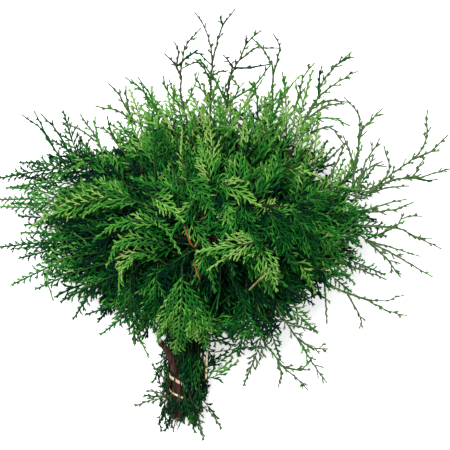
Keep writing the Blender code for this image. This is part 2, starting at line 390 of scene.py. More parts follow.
@dataclass(frozen=True)
class RaffiaFinish:
    """Dry split raffia: long pale fibres with a faint gloss."""

    name: str = "raffia_fibres"
    dark: tuple[float, float, float] = (0.430, 0.260, 0.100)
    light: tuple[float, float, float] = (0.830, 0.710, 0.480)

    def make(self) -> bpy.types.Material:
        """Builds the material."""
        shop = NodeShop(self.name)
        fibres = shop.mottle(700.0, 4.0, (1.0, 0.5, 1.0))
        ramp = shop.add(
            "ShaderNodeValToRGB",
            {"stops": ((0.30, self.dark), (0.58, self.light))},
            {"Fac": fibres},
            0,
        )
        return shop.dress(
            Base_Color=ramp,
            Roughness=0.75 - fibres * 0.2,
            Specular_IOR_Level=0.35,
            Normal=shop.bump(fibres, 0.5, 0.0005),
        )


@dataclass(frozen=True)
class FloorFinish:
    """Plain white studio surface."""

    name: str = "studio_white"
    glow: float = 0.55  # lifts the shadow for the camera only, as on a lit table

    def make(self) -> bpy.types.Material:
        """Builds the material."""
        shop = NodeShop(self.name)
        tooth = shop.mottle(300.0, 2.0)
        seen = shop.add("ShaderNodeLightPath", {}, {}, "Is Camera Ray")
        return shop.dress(
            Base_Color=(0.93, 0.93, 0.935, 1.0),
            Roughness=0.9 - tooth * 0.05,
            Specular_IOR_Level=0.1,
            Emission_Color=shop.blend(seen, (0.0, 0.0, 0.0), (self.glow, self.glow, self.glow)),
            Emission_Strength=1.0,
        )


# SHADE is painted shade: a near-black green for the foliage deep in the crown and in its hollows,
# where only shade falls.
TONES = {
    Tone.SHADE: FoliageFinish("foliage_shade", (0.002, 0.022, 0.012)),
    Tone.DEEP: FoliageFinish("foliage_deep", (0.004, 0.066, 0.010)),
    Tone.GREEN: FoliageFinish("foliage_green", (0.016, 0.150, 0.018)),
    Tone.FRESH: FoliageFinish("foliage_fresh", (0.050, 0.236, 0.030)),
    Tone.BRIGHT: FoliageFinish("foliage_bright", (0.106, 0.335, 0.044)),
    Tone.LIME: FoliageFinish("foliage_lime", (0.240, 0.435, 0.095)),
    Tone.BRONZE: FoliageFinish("foliage_bronze", (0.085, 0.100, 0.062)),
    Tone.OLIVE: FoliageFinish("foliage_olive", (0.078, 0.150, 0.050)),
}
TWIG = BarkFinish("twig_bark", (0.012, 0.011, 0.005), (0.040, 0.030, 0.014), 500.0)
STALK = BarkFinish("green_stalk", (0.010, 0.042, 0.008), (0.034, 0.100, 0.018), 600.0)
BARK = BarkFinish("stem_bark", (0.020, 0.007, 0.007), (0.115, 0.040, 0.032))
RED_TWIG = BarkFinish("red_twig", (0.120, 0.034, 0.010), (0.360, 0.130, 0.040), 420.0)
PALE_TWIG = BarkFinish("pale_twig", (0.180, 0.120, 0.050), (0.400, 0.290, 0.150), 420.0)
CUT_WOOD = BarkFinish("cut_wood", (0.300, 0.190, 0.090), (0.560, 0.410, 0.230), 900.0)


def selected_none() -> None:
    """Leaves edit mode and deselects everything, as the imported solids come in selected."""
    if bpy.context.object and bpy.context.object.mode != "OBJECT":
        bpy.ops.object.mode_set(mode="OBJECT")
    bpy.ops.object.select_all(action="DESELECT")


def hand_over(
    piece: bpy.types.Object,
    material: bpy.types.Material,
    nodes: Iterable[str],
) -> bpy.types.Object:
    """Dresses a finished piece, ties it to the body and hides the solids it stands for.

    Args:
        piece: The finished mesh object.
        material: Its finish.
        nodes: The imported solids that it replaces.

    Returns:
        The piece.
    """
    piece.data.materials.clear()
    piece.data.materials.append(material)
    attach(piece, BODY)
    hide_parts(*nodes)
    count = sum(len(face.vertices) - 2 for face in piece.data.polygons)
    log.info("%s: %d triangles", piece.name, count)
    return piece


def piece_from(name: str, points: np.ndarray, faces: np.ndarray) -> bpy.types.Object:
    """Makes one smooth-shaded object from points and triangles.

    Args:
        name: The piece's name.
        points: Points as rows.
        faces: Triangles as rows of point numbers.

    Returns:
        The new object, at the origin.
    """
    mesh = bpy.data.meshes.new(name)
    mesh.vertices.add(len(points))
    mesh.vertices.foreach_set("co", points.astype(np.float32).ravel())
    mesh.loops.add(faces.size)
    mesh.loops.foreach_set("vertex_index", faces.astype(np.int32).ravel())
    mesh.polygons.add(len(faces))
    mesh.polygons.foreach_set("loop_start", np.arange(0, faces.size, 3, dtype=np.int32))
    mesh.update(calc_edges=True)
    mesh.shade_smooth()
    piece = bpy.data.objects.new(name, mesh)
    bpy.context.scene.collection.objects.link(piece)
    return piece


def rolled(
    name: str,
    route: np.ndarray,
    half_widths: np.ndarray,
    half_depths: np.ndarray,
    faces: np.ndarray,
    sides: int,
    swell: Callable[[float, int], float] | None = None,
) -> bpy.types.Object:
    """Rolls a grid round a route and closes both ends.

    Args:
        name: The piece's name.
        route: Points along the middle.
        half_widths: Half the width at each point.
        half_depths: Half the thickness at each point.
        faces: The way that the flat side looks, at each point or for all.
        sides: Corners of the section.
        swell: Share that the surface stands out by, for an angle and a point's number.

    Returns:
        The new object, at the origin.
    """
    stations = len(route)
    selected_none()
    bpy.ops.mesh.primitive_grid_add(
        x_subdivisions=sides, y_subdivisions=stations - 1, size=1.0
    )
    piece = bpy.context.object
    piece.name = piece.data.name = name
    raw = np.array([vertex.co for vertex in piece.data.vertices])
    angle = 2 * np.pi * (np.round((raw[:, 0] + 0.5) * sides).astype(int) % sides) / sides
    station = np.round((raw[:, 1] + 0.5) * (stations - 1)).astype(int)
    ways = unit(np.gradient(route, axis=0))
    across = unit(np.cross(ways, faces))
    above = np.cross(across, ways)
    out = across[station] * (np.cos(angle) * half_widths[station])[:, None]
    out += above[station] * (np.sin(angle) * half_depths[station])[:, None]
    if swell is not None:
        out *= np.array([1.0 + swell(a, s) for a, s in zip(angle, station)])[:, None]
    points = route[station] + out
    piece.data.vertices.foreach_set("co", points.astype(np.float32).ravel())
    bpy.ops.object.mode_set(mode="EDIT")
    bpy.ops.mesh.select_all(action="SELECT")
    bpy.ops.mesh.remove_doubles(threshold=1e-6)
    bpy.ops.mesh.select_all(action="DESELECT")
    bpy.ops.mesh.select_non_manifold()
    bpy.ops.mesh.fill_holes(sides=0)
    bpy.ops.mesh.select_all(action="SELECT")
    bpy.ops.mesh.normals_make_consistent(inside=False)
    bpy.ops.object.mode_set(mode="OBJECT")
    bpy.ops.object.shade_smooth_by_angle(angle=math.radians(60.0))
    return piece


def joined(name: str, parts: Sequence[bpy.types.Object]) -> bpy.types.Object:
    """Joins objects into one piece and names it."""
    selected_none()
    for part in parts:
        part.select_set(True)
    bpy.context.view_layer.objects.active = parts[0]
    bpy.ops.object.join()
    piece = bpy.context.object
    piece.name = piece.data.name = name
    return piece


@dataclass(frozen=True)
class Template:
    """A short closed body that is modelled once: a cone that is cut across and pinched.

    Its points are held as a share of its length, and as across and above in half widths.
    """

    points: np.ndarray
    faces: np.ndarray

    @staticmethod
    def model(sides: int, cuts: Sequence[float], widths: Sequence[float], tip: float) -> Template:
        """Models the body from a cylinder primitive with bisect cuts, pinched towards its tip.

        Args:
            sides: Corners of its section.
            cuts: Where it is cut across, as shares of its length.
            widths: Its half width at the base and at each cut.
            tip: Its half width at the tip.

        Returns:
            The template.
        """
        selected_none()
        bpy.ops.mesh.primitive_cylinder_add(vertices=sides, radius=1.0, depth=1.0)
        piece = bpy.context.object
        bpy.ops.object.mode_set(mode="EDIT")
        bpy.ops.mesh.select_all(action="SELECT")
        bpy.ops.transform.translate(value=(0.0, 0.0, 0.5))
        for cut in cuts:
            bpy.ops.mesh.select_all(action="SELECT")
            bpy.ops.mesh.bisect(plane_co=(0.0, 0.0, cut), plane_no=(0.0, 0.0, 1.0))
        bpy.ops.mesh.select_all(action="SELECT")
        bpy.ops.mesh.quads_convert_to_tris()
        bpy.ops.object.mode_set(mode="OBJECT")
        raw = np.array([vertex.co for vertex in piece.data.vertices])
        marks = np.array((0.0, *cuts, 1.0))
        scale = np.array((*widths, tip))
        nearest = np.abs(raw[:, 2:3] - marks[None]).argmin(axis=1)
        points = np.column_stack((marks[nearest], raw[:, :2] * scale[nearest][:, None]))
        faces = np.array([tuple(face.vertices) for face in piece.data.polygons])
        bpy.data.objects.remove(piece)
        return Template(points, faces)

    @property
    def size(self) -> int:
        """Number of triangles."""
        return len(self.faces)


@dataclass
class Batch:
    """Curved branchlets as rows: where each starts, its way, its curve, its face and sizes."""

    starts: list[np.ndarray] = field(default_factory=list)
    ways: list[np.ndarray] = field(default_factory=list)
    curves: list[np.ndarray] = field(default_factory=list)
    faces: list[np.ndarray] = field(default_factory=list)
    sizes: list[np.ndarray] = field(default_factory=list)

    def add(
        self,
        starts: np.ndarray,
        ways: np.ndarray,
        curves: np.ndarray,
        faces: np.ndarray,
        sizes: np.ndarray,
    ) -> None:
        """Adds rows of branchlets.

        Args:
            starts: Where each branchlet starts.
            ways: Unit direction of each at its start.
            curves: How far each curves sideways, as a share of its length.
            faces: The way that each one's flat face looks.
            sizes: Length, half width and half thickness of each.
        """
        self.starts.append(np.atleast_2d(starts))
        self.ways.append(np.atleast_2d(ways))
        self.curves.append(np.atleast_2d(curves))
        self.faces.append(np.atleast_2d(faces))
        self.sizes.append(np.atleast_2d(sizes))

    def count(self) -> int:
        """Number of branchlets."""
        return sum(len(rows) for rows in self.starts)

    def mesh(self, template: Template) -> tuple[np.ndarray, np.ndarray]:
        """Lays the template along every branchlet.

        Args:
            template: The body to repeat.

        Returns:
            Points and triangles of all the copies.
        """
        start, way = np.vstack(self.starts), np.vstack(self.ways)
        curve, face = np.vstack(self.curves), np.vstack(self.faces)
        length, half_width, half_depth = np.vstack(self.sizes).T
        along, across, above = template.points.T
        along = along[None, :, None]
        run = way[:, None] * along + curve[:, None] * along**2 / 2
        heading = unit(way[:, None] + curve[:, None] * along)
        side = unit(np.cross(face[:, None], heading))
        lift = np.cross(heading, side)
        points = start[:, None] + run * length[:, None, None]
        points += side * (across[None, :] * half_width[:, None])[:, :, None]
        points += lift * (above[None, :] * half_depth[:, None])[:, :, None]
        step = len(template.points)
        shift = np.arange(len(start))[:, None, None] * step
        faces = (template.faces[None] + shift).reshape(-1, 3)
        return points.reshape(-1, 3), faces


def pressed(points: np.ndarray) -> np.ndarray:
    """Presses what would go into the surface flat on it.

    Args:
        points: Points as rows.

    Returns:
        The points, all above the surface.
    """
    soft = 0.006
    low = points[:, 2] < soft
    points[low, 2] = soft * np.exp((points[low, 2] - soft) / soft)
    return points


@dataclass
class Greenery:
    """Everything that grows: branchlets by tone, and twigs and stalks as tubes."""

    dice: np.random.Generator
    long: dict[Tone, Batch] = field(default_factory=lambda: {tone: Batch() for tone in Tone})
    short: dict[Tone, Batch] = field(default_factory=lambda: {tone: Batch() for tone in Tone})
    twigs: Batch = field(default_factory=Batch)
    stalks: Batch = field(default_factory=Batch)

    @staticmethod
    def lighter(tone: Tone, steps: int) -> Tone:
        """A tone some steps along from shade to lime."""
        if tone not in TONE_ORDER:
            return tone
        index = TONE_ORDER.index(tone) + steps
        return TONE_ORDER[max(0, min(len(TONE_ORDER) - 1, index))]

    @staticmethod
    def limb(batch: Batch, route: np.ndarray, radii: np.ndarray) -> None:
        """Adds a tapering limb as a chain of short pieces that overlap.

        Args:
            batch: The twigs or the stalks.
            route: Points along the limb.
            radii: The limb's radius at each point.
        """
        steps = np.diff(route, axis=0)
        length = np.linalg.norm(steps, axis=1)
        way = unit(steps)
        faces = np.tile(UP, (len(way), 1)) + 0.01
        sizes = np.column_stack((length * 1.12, radii[:-1], radii[:-1]))
        batch.add(route[:-1], way, np.zeros_like(way), faces, sizes)


@dataclass
class Crown:
    """The crown's outline from above and the height of its upper side."""

    rim: tuple[float, ...] = (
        0.155, 0.145, 0.116, 0.124, 0.126, 0.118, 0.112, 0.116, 0.130, 0.134, 0.152, 0.182,
        0.185, 0.185, 0.165, 0.148, 0.138, 0.130, 0.125, 0.125, 0.122, 0.125, 0.130, 0.142,
    )  # fmt: skip
    edge_height: float = 0.042
    swell: float = 0.108

    def reach(self, place: np.ndarray) -> float:
        """The dense outline's distance from the middle, on the bearing of a place."""
        across, along = (place - CROWN_CENTRE)[:2]
        turn = math.atan2(along, across) / (2 * math.pi) % 1.0 * len(self.rim)
        low = int(turn)
        share = turn - low
        near, far = self.rim[low % len(self.rim)], self.rim[(low + 1) % len(self.rim)]
        return near * (1.0 - share) + far * share

    def part(self, place: np.ndarray) -> float:
        """How far out a place is: 0 at the middle and 1 on the dense outline."""
        return float(np.linalg.norm((place - CROWN_CENTRE)[:2])) / self.reach(place)

    def height(self, place: np.ndarray) -> float:
        """Height of the crown's upper side over a place."""
        part = min(1.25, self.part(place))
        return max(0.020, self.edge_height + self.swell * (1.0 - (part / 1.08) ** 2))


CROWN = Crown()
ODDS = (0.08, 0.25, 0.40, 0.27)  # of a green, fresh, bright or lime spray at the border


@dataclass
class Skeleton:
    """Places on the stems and boughs that twigs can start from."""

    places: list[np.ndarray] = field(default_factory=list)
    ways: list[np.ndarray] = field(default_factory=list)

    def add(self, route: np.ndarray) -> None:
        """Adds the points of a limb."""
        self.places.append(route)
        self.ways.append(unit(np.gradient(route, axis=0)))

    def twig_to(self, root: np.ndarray, aim: np.ndarray) -> np.ndarray:
        """Runs a twig from the best place on a limb to a spray's root.

        Args:
            root: Where the spray starts.
            aim: The direction that the spray starts in.

        Returns:
            The twig's route.
        """
        places, ways = np.vstack(self.places), np.vstack(self.ways)
        gaps = root - places
        length = np.linalg.norm(gaps, axis=1)
        straight = (unit(gaps) * unit(aim)).sum(axis=1)
        onward = (unit(gaps) * ways).sum(axis=1)
        best = int(np.argmin((length + 0.004) * (2.2 - straight - 0.5 * onward)))
        start, way, gap = places[best], ways[best], float(length[best])
        t = np.linspace(0.0, 1.0, 7)[:, None]
        lead, follow = way * gap * 0.8, unit(aim) * gap * 0.8
        near = (2 * t**3 - 3 * t**2 + 1) * start + (t**3 - 2 * t**2 + t) * lead
        return near + (3 * t**2 - 2 * t**3) * root + (t**3 - t**2) * follow


def swept(
    root: np.ndarray,
    aim: np.ndarray,
    face: np.ndarray,
    length: float,
    bend: float = 0.0,
    droop: float = 0.0,
) -> np.ndarray:
    """Runs a route out from a root, turning evenly as it goes.

    Args:
        root: Where it starts.
        aim: The direction that it starts in.
        face: The way that its flat side looks.
        length: Its length.
        bend: Turn within its own plane, in radians over its length.
        droop: Turn away from its face, in radians over its length.

    Returns:
        Six points of the route.
    """
    way, face, place = unit(aim), square_to(face, unit(aim)), root.copy()
    route = [place]
    for _ in range(5):
        way = turned(way, face, bend / 5)
        way = turned(way, np.cross(face, way), droop / 5)
        face = square_to(face, way)
        place = place + way * length / 5
        route.append(place)
    return np.array(route)


@dataclass(frozen=True)
class Habit:
    """How closely a spray is set with shoots, and how broad they are."""

    gap: float  # between side shoots
    branchlet_gap: float
    branchlet: float  # longest branchlet
    width: float
    angle: float  # side shoots stand off by this much, in radians
    forks: float = 0.0  # share of the longer branchlets that fork


NEEDLES = Habit(0.0035, 0.0033, 0.0071, 0.0021, 0.62, 0.08)
FINGERS = Habit(0.0046, 0.0044, 0.0068, 0.0022, 0.60)
FILLING = Habit(0.0056, 0.0048, 0.0088, 0.0026, 0.72)
SMALL = Habit(0.0040, 0.0040, 0.0056, 0.0020, 0.62)
# Direction of the key light seen from above: side shoots facing it are painted lighter, those facing
# away painted darker.
SUNWARD = np.array((-0.65, 0.76, 0.0))


@dataclass
class Spray:
    """One flat spray: an axis with alternate side shoots, each set with branchlets."""

    route: np.ndarray
    face: np.ndarray
    tone: Tone
    spread: float = 0.34  # longest side shoot, as a share of the spray's length
    lopsided: float = 0.0  # above 0 the left side's shoots are longer, below 0 the right's
    twist: float = 0.0  # turn about its own axis, in radians over its length
    bare: float = 0.08  # share of the axis that bears no side shoots
    stalk: float = 0.0008
    habit: Habit = NEEDLES

    def grow(self, greenery: Greenery) -> None:
        """Adds the spray's stalk, side shoots and branchlets.

        Args:
            greenery: What grows.
        """
        dice = greenery.dice
        length = float(np.linalg.norm(np.diff(self.route, axis=0), axis=1).sum())
        steps = max(4, int(length / self.habit.gap))
        route = along_route(self.route, steps + 1)
        ways = unit(np.gradient(route, axis=0))
        self._stalk(greenery, route, ways)
        side = 1 if dice.random() < 0.5 else -1
        face = square_to(self.face, ways[0])
        for index in range(1, steps + 1):
            part = index / steps
            face = turned(square_to(face, ways[index]), ways[index], self.twist / steps)
            side = -side
            if part < self.bare:
                continue
            reach = length * self.spread * self.outline(part) * dice.uniform(0.80, 1.10)
            reach = max(0.0045, reach * (1.0 + self.lopsided * side))
            self.side_shoot(greenery, route[index], ways[index], face, side, part, reach)
        size = np.array((self.habit.branchlet * 0.9, self.habit.width * 0.5, self.habit.width * 0.26))
        tip = route[-1] - ways[-1] * 0.001
        greenery.long[greenery.lighter(self.tone, 1)].add(tip, ways[-1], np.zeros(3), face, size)

    @staticmethod
    def outline(part: float) -> float:
        """Length of the side shoots along the axis: an egg shape, widest near its base."""
        rise = 0.55 + 0.45 * smooth(part / 0.24)
        fall = 1.0 - 0.86 * max(0.0, (part - 0.22) / 0.78) ** 0.92
        return rise * fall

    def _stalk(self, greenery: Greenery, route: np.ndarray, ways: np.ndarray) -> None:
        """Adds the axis: woody or green near its root, and scale-leaved further out."""
        count = len(route)
        radii = self.stalk * (1.0 - 0.45 * np.linspace(0.0, 1.0, count))
        woody = max(2, int(count * 0.62))
        greenery.limb(greenery.stalks, route[:woody], radii[:woody])
        steps = np.diff(route[woody - 1 :], axis=0)
        if len(steps):
            half = np.full(len(steps), self.habit.width * 0.52)
            sizes = np.column_stack((np.linalg.norm(steps, axis=1) * 1.35, half, half * 0.6))
            faces = np.tile(square_to(self.face, ways[woody - 1]), (len(steps), 1))
            still = np.zeros_like(steps)
            greenery.long[self.tone].add(route[woody - 1 : -1], unit(steps), still, faces, sizes)

    def side_shoot(
        self,
        greenery: Greenery,
        root: np.ndarray,
        forward: np.ndarray,
        face: np.ndarray,
        side: int,
        part: float,
        reach: float,
    ) -> None:
        """Adds one side shoot and its branchlets.

        Args:
            greenery: What grows.
            root: Where the shoot leaves the axis.
            forward: The axis's direction there.
            face: The way that the spray's face looks there.
            side: 1 or -1, for the side of the axis.
            part: How far along the axis it is, from 0 to 1.
            reach: The shoot's length.
        """
        dice = greenery.dice
        across = np.cross(face, forward) * side
        angle = self.habit.angle * (1.0 - 0.25 * part) * dice.uniform(0.90, 1.10)
        tilt = dice.normal(-0.04, 0.10)
        way = unit(forward * math.cos(angle) + across * math.sin(angle) + face * tilt)
        flat = square_to(face + across * dice.normal(0.0, 0.16), way)
        curve = forward * dice.uniform(0.05, 0.35) - flat * dice.uniform(0.0, 0.30)
        # Painted shade: the side shoots nearest the spray's root are dealt a tone darker.
        shift = -1 if part < 0.25 else int(dice.random() < 0.10 + 0.30 * part)
        # Painted light: shoots on the side toward the key light are dealt a tone lighter, and those
        # on the far side a tone darker, as painted shade.
        painted_light = float(across @ SUNWARD)
        if dice.random() < 0.75 * abs(painted_light):
            shift += 1 if painted_light > 0 else -1
        tone = greenery.lighter(self.tone, shift)
        half = self.habit.width / 2
        size = np.array((reach, half * 0.95, half * 0.62))
        greenery.long[tone].add(root, way, curve, flat, size)
        count = int((reach - 0.002) / self.habit.branchlet_gap)
        if count < 1:
            return
        marks = (np.arange(count) + 0.70) / (count + 0.5)
        marks = np.clip(marks + dice.normal(0.0, 0.012, count), 0.03, 0.97)[:, None]
        roots = root + (way * marks + curve * marks**2 / 2) * reach
        heading = unit(way + curve * marks)
        sideways = np.cross(flat, heading)
        flip = np.where(np.arange(count) % 2 == 0, 1.0, -1.0)[:, None]
        spread = dice.normal(0.46, 0.06, count)[:, None]
        out = heading * np.cos(spread) + sideways * flip * np.sin(spread)
        out = unit(out + flat * dice.normal(-0.03, 0.12, count)[:, None])
        profile = 0.42 + 0.58 * np.sin(np.pi * (0.18 + 0.70 * marks[:, 0]))
        lengths = self.habit.branchlet * profile * dice.uniform(0.72, 1.15, count)
        lengths = np.minimum(lengths, 0.0030 + reach * 0.32)
        curves = heading * 0.30 - flat * 0.06
        flats = np.tile(flat, (count, 1)) + dice.normal(0.0, 0.10, (count, 3))
        halves = np.full(count, half) * dice.uniform(0.86, 1.1, count)
        sizes = np.column_stack((lengths, halves, halves * 0.5))
        outer = (marks[:, 0] > 0.70) | (dice.random(count) < 0.10)
        tips = greenery.lighter(tone, 1 + int(dice.random() < 0.22))
        for chosen, shade in ((~outer, tone), (outer, tips)):
            if chosen.any():
                rows = (roots[chosen], out[chosen], curves[chosen], flats[chosen], sizes[chosen])
                greenery.short[shade].add(*rows)
        if self.habit.forks:
            self._forks(greenery, tone, roots, out, curves, flats, lengths)

    def _forks(
        self,
        greenery: Greenery,
        tone: Tone,
        roots: np.ndarray,
        ways: np.ndarray,
        curves: np.ndarray,
        flats: np.ndarray,
        lengths: np.ndarray,
    ) -> None:
        """Adds small forks to the longer branchlets."""
        dice = greenery.dice
        for side in (1.0, -1.0):
            chosen = (lengths > 0.0058) & (dice.random(len(lengths)) < self.habit.forks)
            if not chosen.any():
                continue
            at = dice.uniform(0.32, 0.62, (int(chosen.sum()), 1))
            length = lengths[chosen, None]
            heading = unit(ways[chosen] + curves[chosen] * at)
            starts = roots[chosen] + (ways[chosen] * at + curves[chosen] * at**2 / 2) * length
            out = unit(heading * 0.78 + np.cross(flats[chosen], heading) * side * 0.62)
            size = length[:, 0] * dice.uniform(0.36, 0.52, len(starts))
            half = np.full(len(starts), self.habit.width * 0.43)
            sizes = np.column_stack((size, half, half * 0.55))
            greenery.short[tone].add(starts, out, heading * 0.2, flats[chosen], sizes)


@dataclass
class Leader:
    """A long thin leading shoot: a nearly bare axis with a few twigs and forked ends."""

    route: np.ndarray
    face: np.ndarray
    tone: Tone
    thick: float = 0.0014
    gap: float = 0.0060
    twig: float = 0.0085  # longest side twig
    width: float = 0.0018

    def grow(self, greenery: Greenery) -> None:
        """Adds the leader's axis, side twigs and ends.

        Args:
            greenery: What grows.
        """
        dice = greenery.dice
        length = float(np.linalg.norm(np.diff(self.route, axis=0), axis=1).sum())
        steps = max(3, int(length / self.gap))
        route = along_route(self.route, steps + 1)
        route[1:-1] += dice.normal(0.0, 0.0003, (steps - 1, 3))
        ways = unit(np.gradient(route, axis=0))
        flat = np.array([square_to(self.face, way) for way in ways])
        half = self.thick * np.linspace(1.0, 0.62, steps)
        pace = np.linalg.norm(np.diff(route, axis=0), axis=1) * 1.9
        sizes = np.column_stack((pace, half, half * 0.8))
        still = np.zeros((steps, 3))
        heading = unit(np.diff(route, axis=0))
        greenery.long[self.tone].add(route[:-1], heading, still, flat[:-1], sizes)
        side = 1.0 if dice.random() < 0.5 else -1.0
        for index in range(1, steps):
            part = index / steps
            side = -side
            if dice.random() < 0.22:
                continue
            swell = 0.40 + 0.60 * math.sin(math.pi * (0.12 + 0.72 * part))
            reach = self.twig * swell * dice.uniform(0.45, 1.3)
            face = square_to(self.face + dice.normal(0, 0.15, 3), ways[index])
            self._twig(greenery, route[index], ways[index], face, side, reach)
        self._twig(greenery, route[-2], ways[-2], flat[-2], side, self.twig * 0.55)

    def _twig(
        self,
        greenery: Greenery,
        root: np.ndarray,
        forward: np.ndarray,
        face: np.ndarray,
        side: float,
        reach: float,
    ) -> None:
        """Adds one side twig, with small forks when it is long."""
        dice = greenery.dice
        across = np.cross(face, forward) * side
        lean = dice.uniform(0.38, 0.72)
        way = unit(forward * 0.86 + across * lean + face * dice.normal(0, 0.1))
        curve = forward * 0.35
        half = self.width / 2
        young = Tone.BRIGHT if self.tone is Tone.OLIVE else Tone.FRESH
        tone = self.tone if dice.random() < 0.72 else young
        size = np.array((reach, half, half * 0.6))
        greenery.long[tone].add(root, way, curve, face, size)
        for fork in (1.0, -1.0):
            if reach > 0.0058 and dice.random() < 0.5:
                at = dice.uniform(0.30, 0.65)
                start = root + (way * at + curve * at**2 / 2) * reach
                heading = unit(way + curve * at)
                out = unit(heading * 0.86 + np.cross(face, heading) * fork * 0.52)
                size = np.array((reach * dice.uniform(0.42, 0.60), half * 0.85, half * 0.5))
                greenery.short[tone].add(start, out, heading * 0.2, face, size)


@dataclass(frozen=True)
class Layer:
    """How the masses of one ring grow."""

    tone: Tone
    sprays: int
    lowest: float  # share of the crown's height at which its lowest sprays end
    highest: float
    reach: tuple[float, float]  # shares of the dense outline between which sprays end
    sink: float  # the limb's height, as a share of its mass's


# Painted shade: the under and middle rings are dealt the near-black SHADE tone and the top ring the
# dark DEEP tone, darker than the sprays over them.
LAYERS = {
    "under": Layer(Tone.SHADE, 14, 0.10, 0.42, (0.80, 1.04), 1.0),
    "middle": Layer(Tone.SHADE, 18, 0.36, 0.72, (0.74, 1.04), 0.85),
    "top": Layer(Tone.DEEP, 18, 0.60, 0.88, (0.45, 0.98), 0.68),
}


@dataclass
class Bough:
    """One mass of foliage as it grows: a limb from its inner end to its tip, with sprays."""

    node: str
    layer: Layer

    def __post_init__(self) -> None:
        """Reads the limb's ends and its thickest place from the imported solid."""
        points = node_points(self.node)
        flat = points - CROWN_CENTRE
        flat[:, 2] = 0.0
        self.outward = unit(flat.mean(axis=0))
        reach = flat @ self.outward
        self.inner = points[reach < reach.min() + 0.003].mean(axis=0)
        self.tip = points[reach > reach.max() - 0.003].mean(axis=0)
        self.girth = points[np.abs(reach - 0.092) < 0.016].mean(axis=0)
        self.route = along_route(np.array((self.inner, self.girth, self.tip)), 19)[:12]
        self.route[:, 2] *= self.layer.sink

    def grow(self, greenery: Greenery) -> None:
        """Adds the limb and its sprays.

        Args:
            greenery: What grows.
        """
        dice = greenery.dice
        route, layer = self.route, self.layer
        greenery.limb(greenery.twigs, route, np.linspace(0.0020, 0.0007, len(route)))
        ways = unit(np.gradient(route, axis=0))
        side = 1.0 if dice.random() < 0.5 else -1.0
        for index in range(layer.sprays):
            part = index / (layer.sprays - 1)
            spot = min(len(route) - 1, int(part * len(route)))
            root, side = route[spot], -side
            swing = side * dice.uniform(0.2, 1.25) * (1.1 - 0.6 * part)
            if part < 0.2:
                swing = dice.uniform(-2.6, 2.6)
            aim = turned(ways[spot], UP, swing)
            aim[2] = 0.0
            aim = unit(aim)
            length = dice.uniform(0.080, 0.120)
            limit = dice.uniform(*layer.reach)
            while CROWN.part(root + aim * length) > limit and length > 0.03:
                length -= 0.004
            if length < 0.040:
                continue
            goal = root + aim * length
            goal[2] = CROWN.height(goal) * dice.uniform(layer.lowest, layer.highest)
            aim = unit(goal - root)
            face = UP + self.outward * dice.normal(0.25, 0.35) + dice.normal(0.0, 0.3, 3)
            if layer.lowest < 0.2 and dice.random() < 0.5:
                face[2] = -face[2]
            sag = dice.uniform(0.0, 0.5)
            # Painted light: masses in the upper rings that point toward the key light's side are
            # dealt one tone lighter.
            painted_light = 1 if layer.lowest > 0.3 and self.outward[1] > 0.45 else 0
            tone = greenery.lighter(layer.tone, int(dice.choice((-1, 0, 0, 1))) + painted_light)
            down = -0.30 * aim[0]
            line = swept(root, aim + UP * sag * 0.4, face, length, down + dice.normal(0, 0.2), sag)
            Spray(
                route=line,
                face=face,
                tone=tone,
                spread=dice.uniform(0.34, 0.46),
                twist=dice.normal(0.0, 0.4),
                habit=FILLING,
            ).grow(greenery)


SHADE, DEEP, GREEN, FRESH, BRIGHT, LIME, BRONZE, OLIVE = Tone
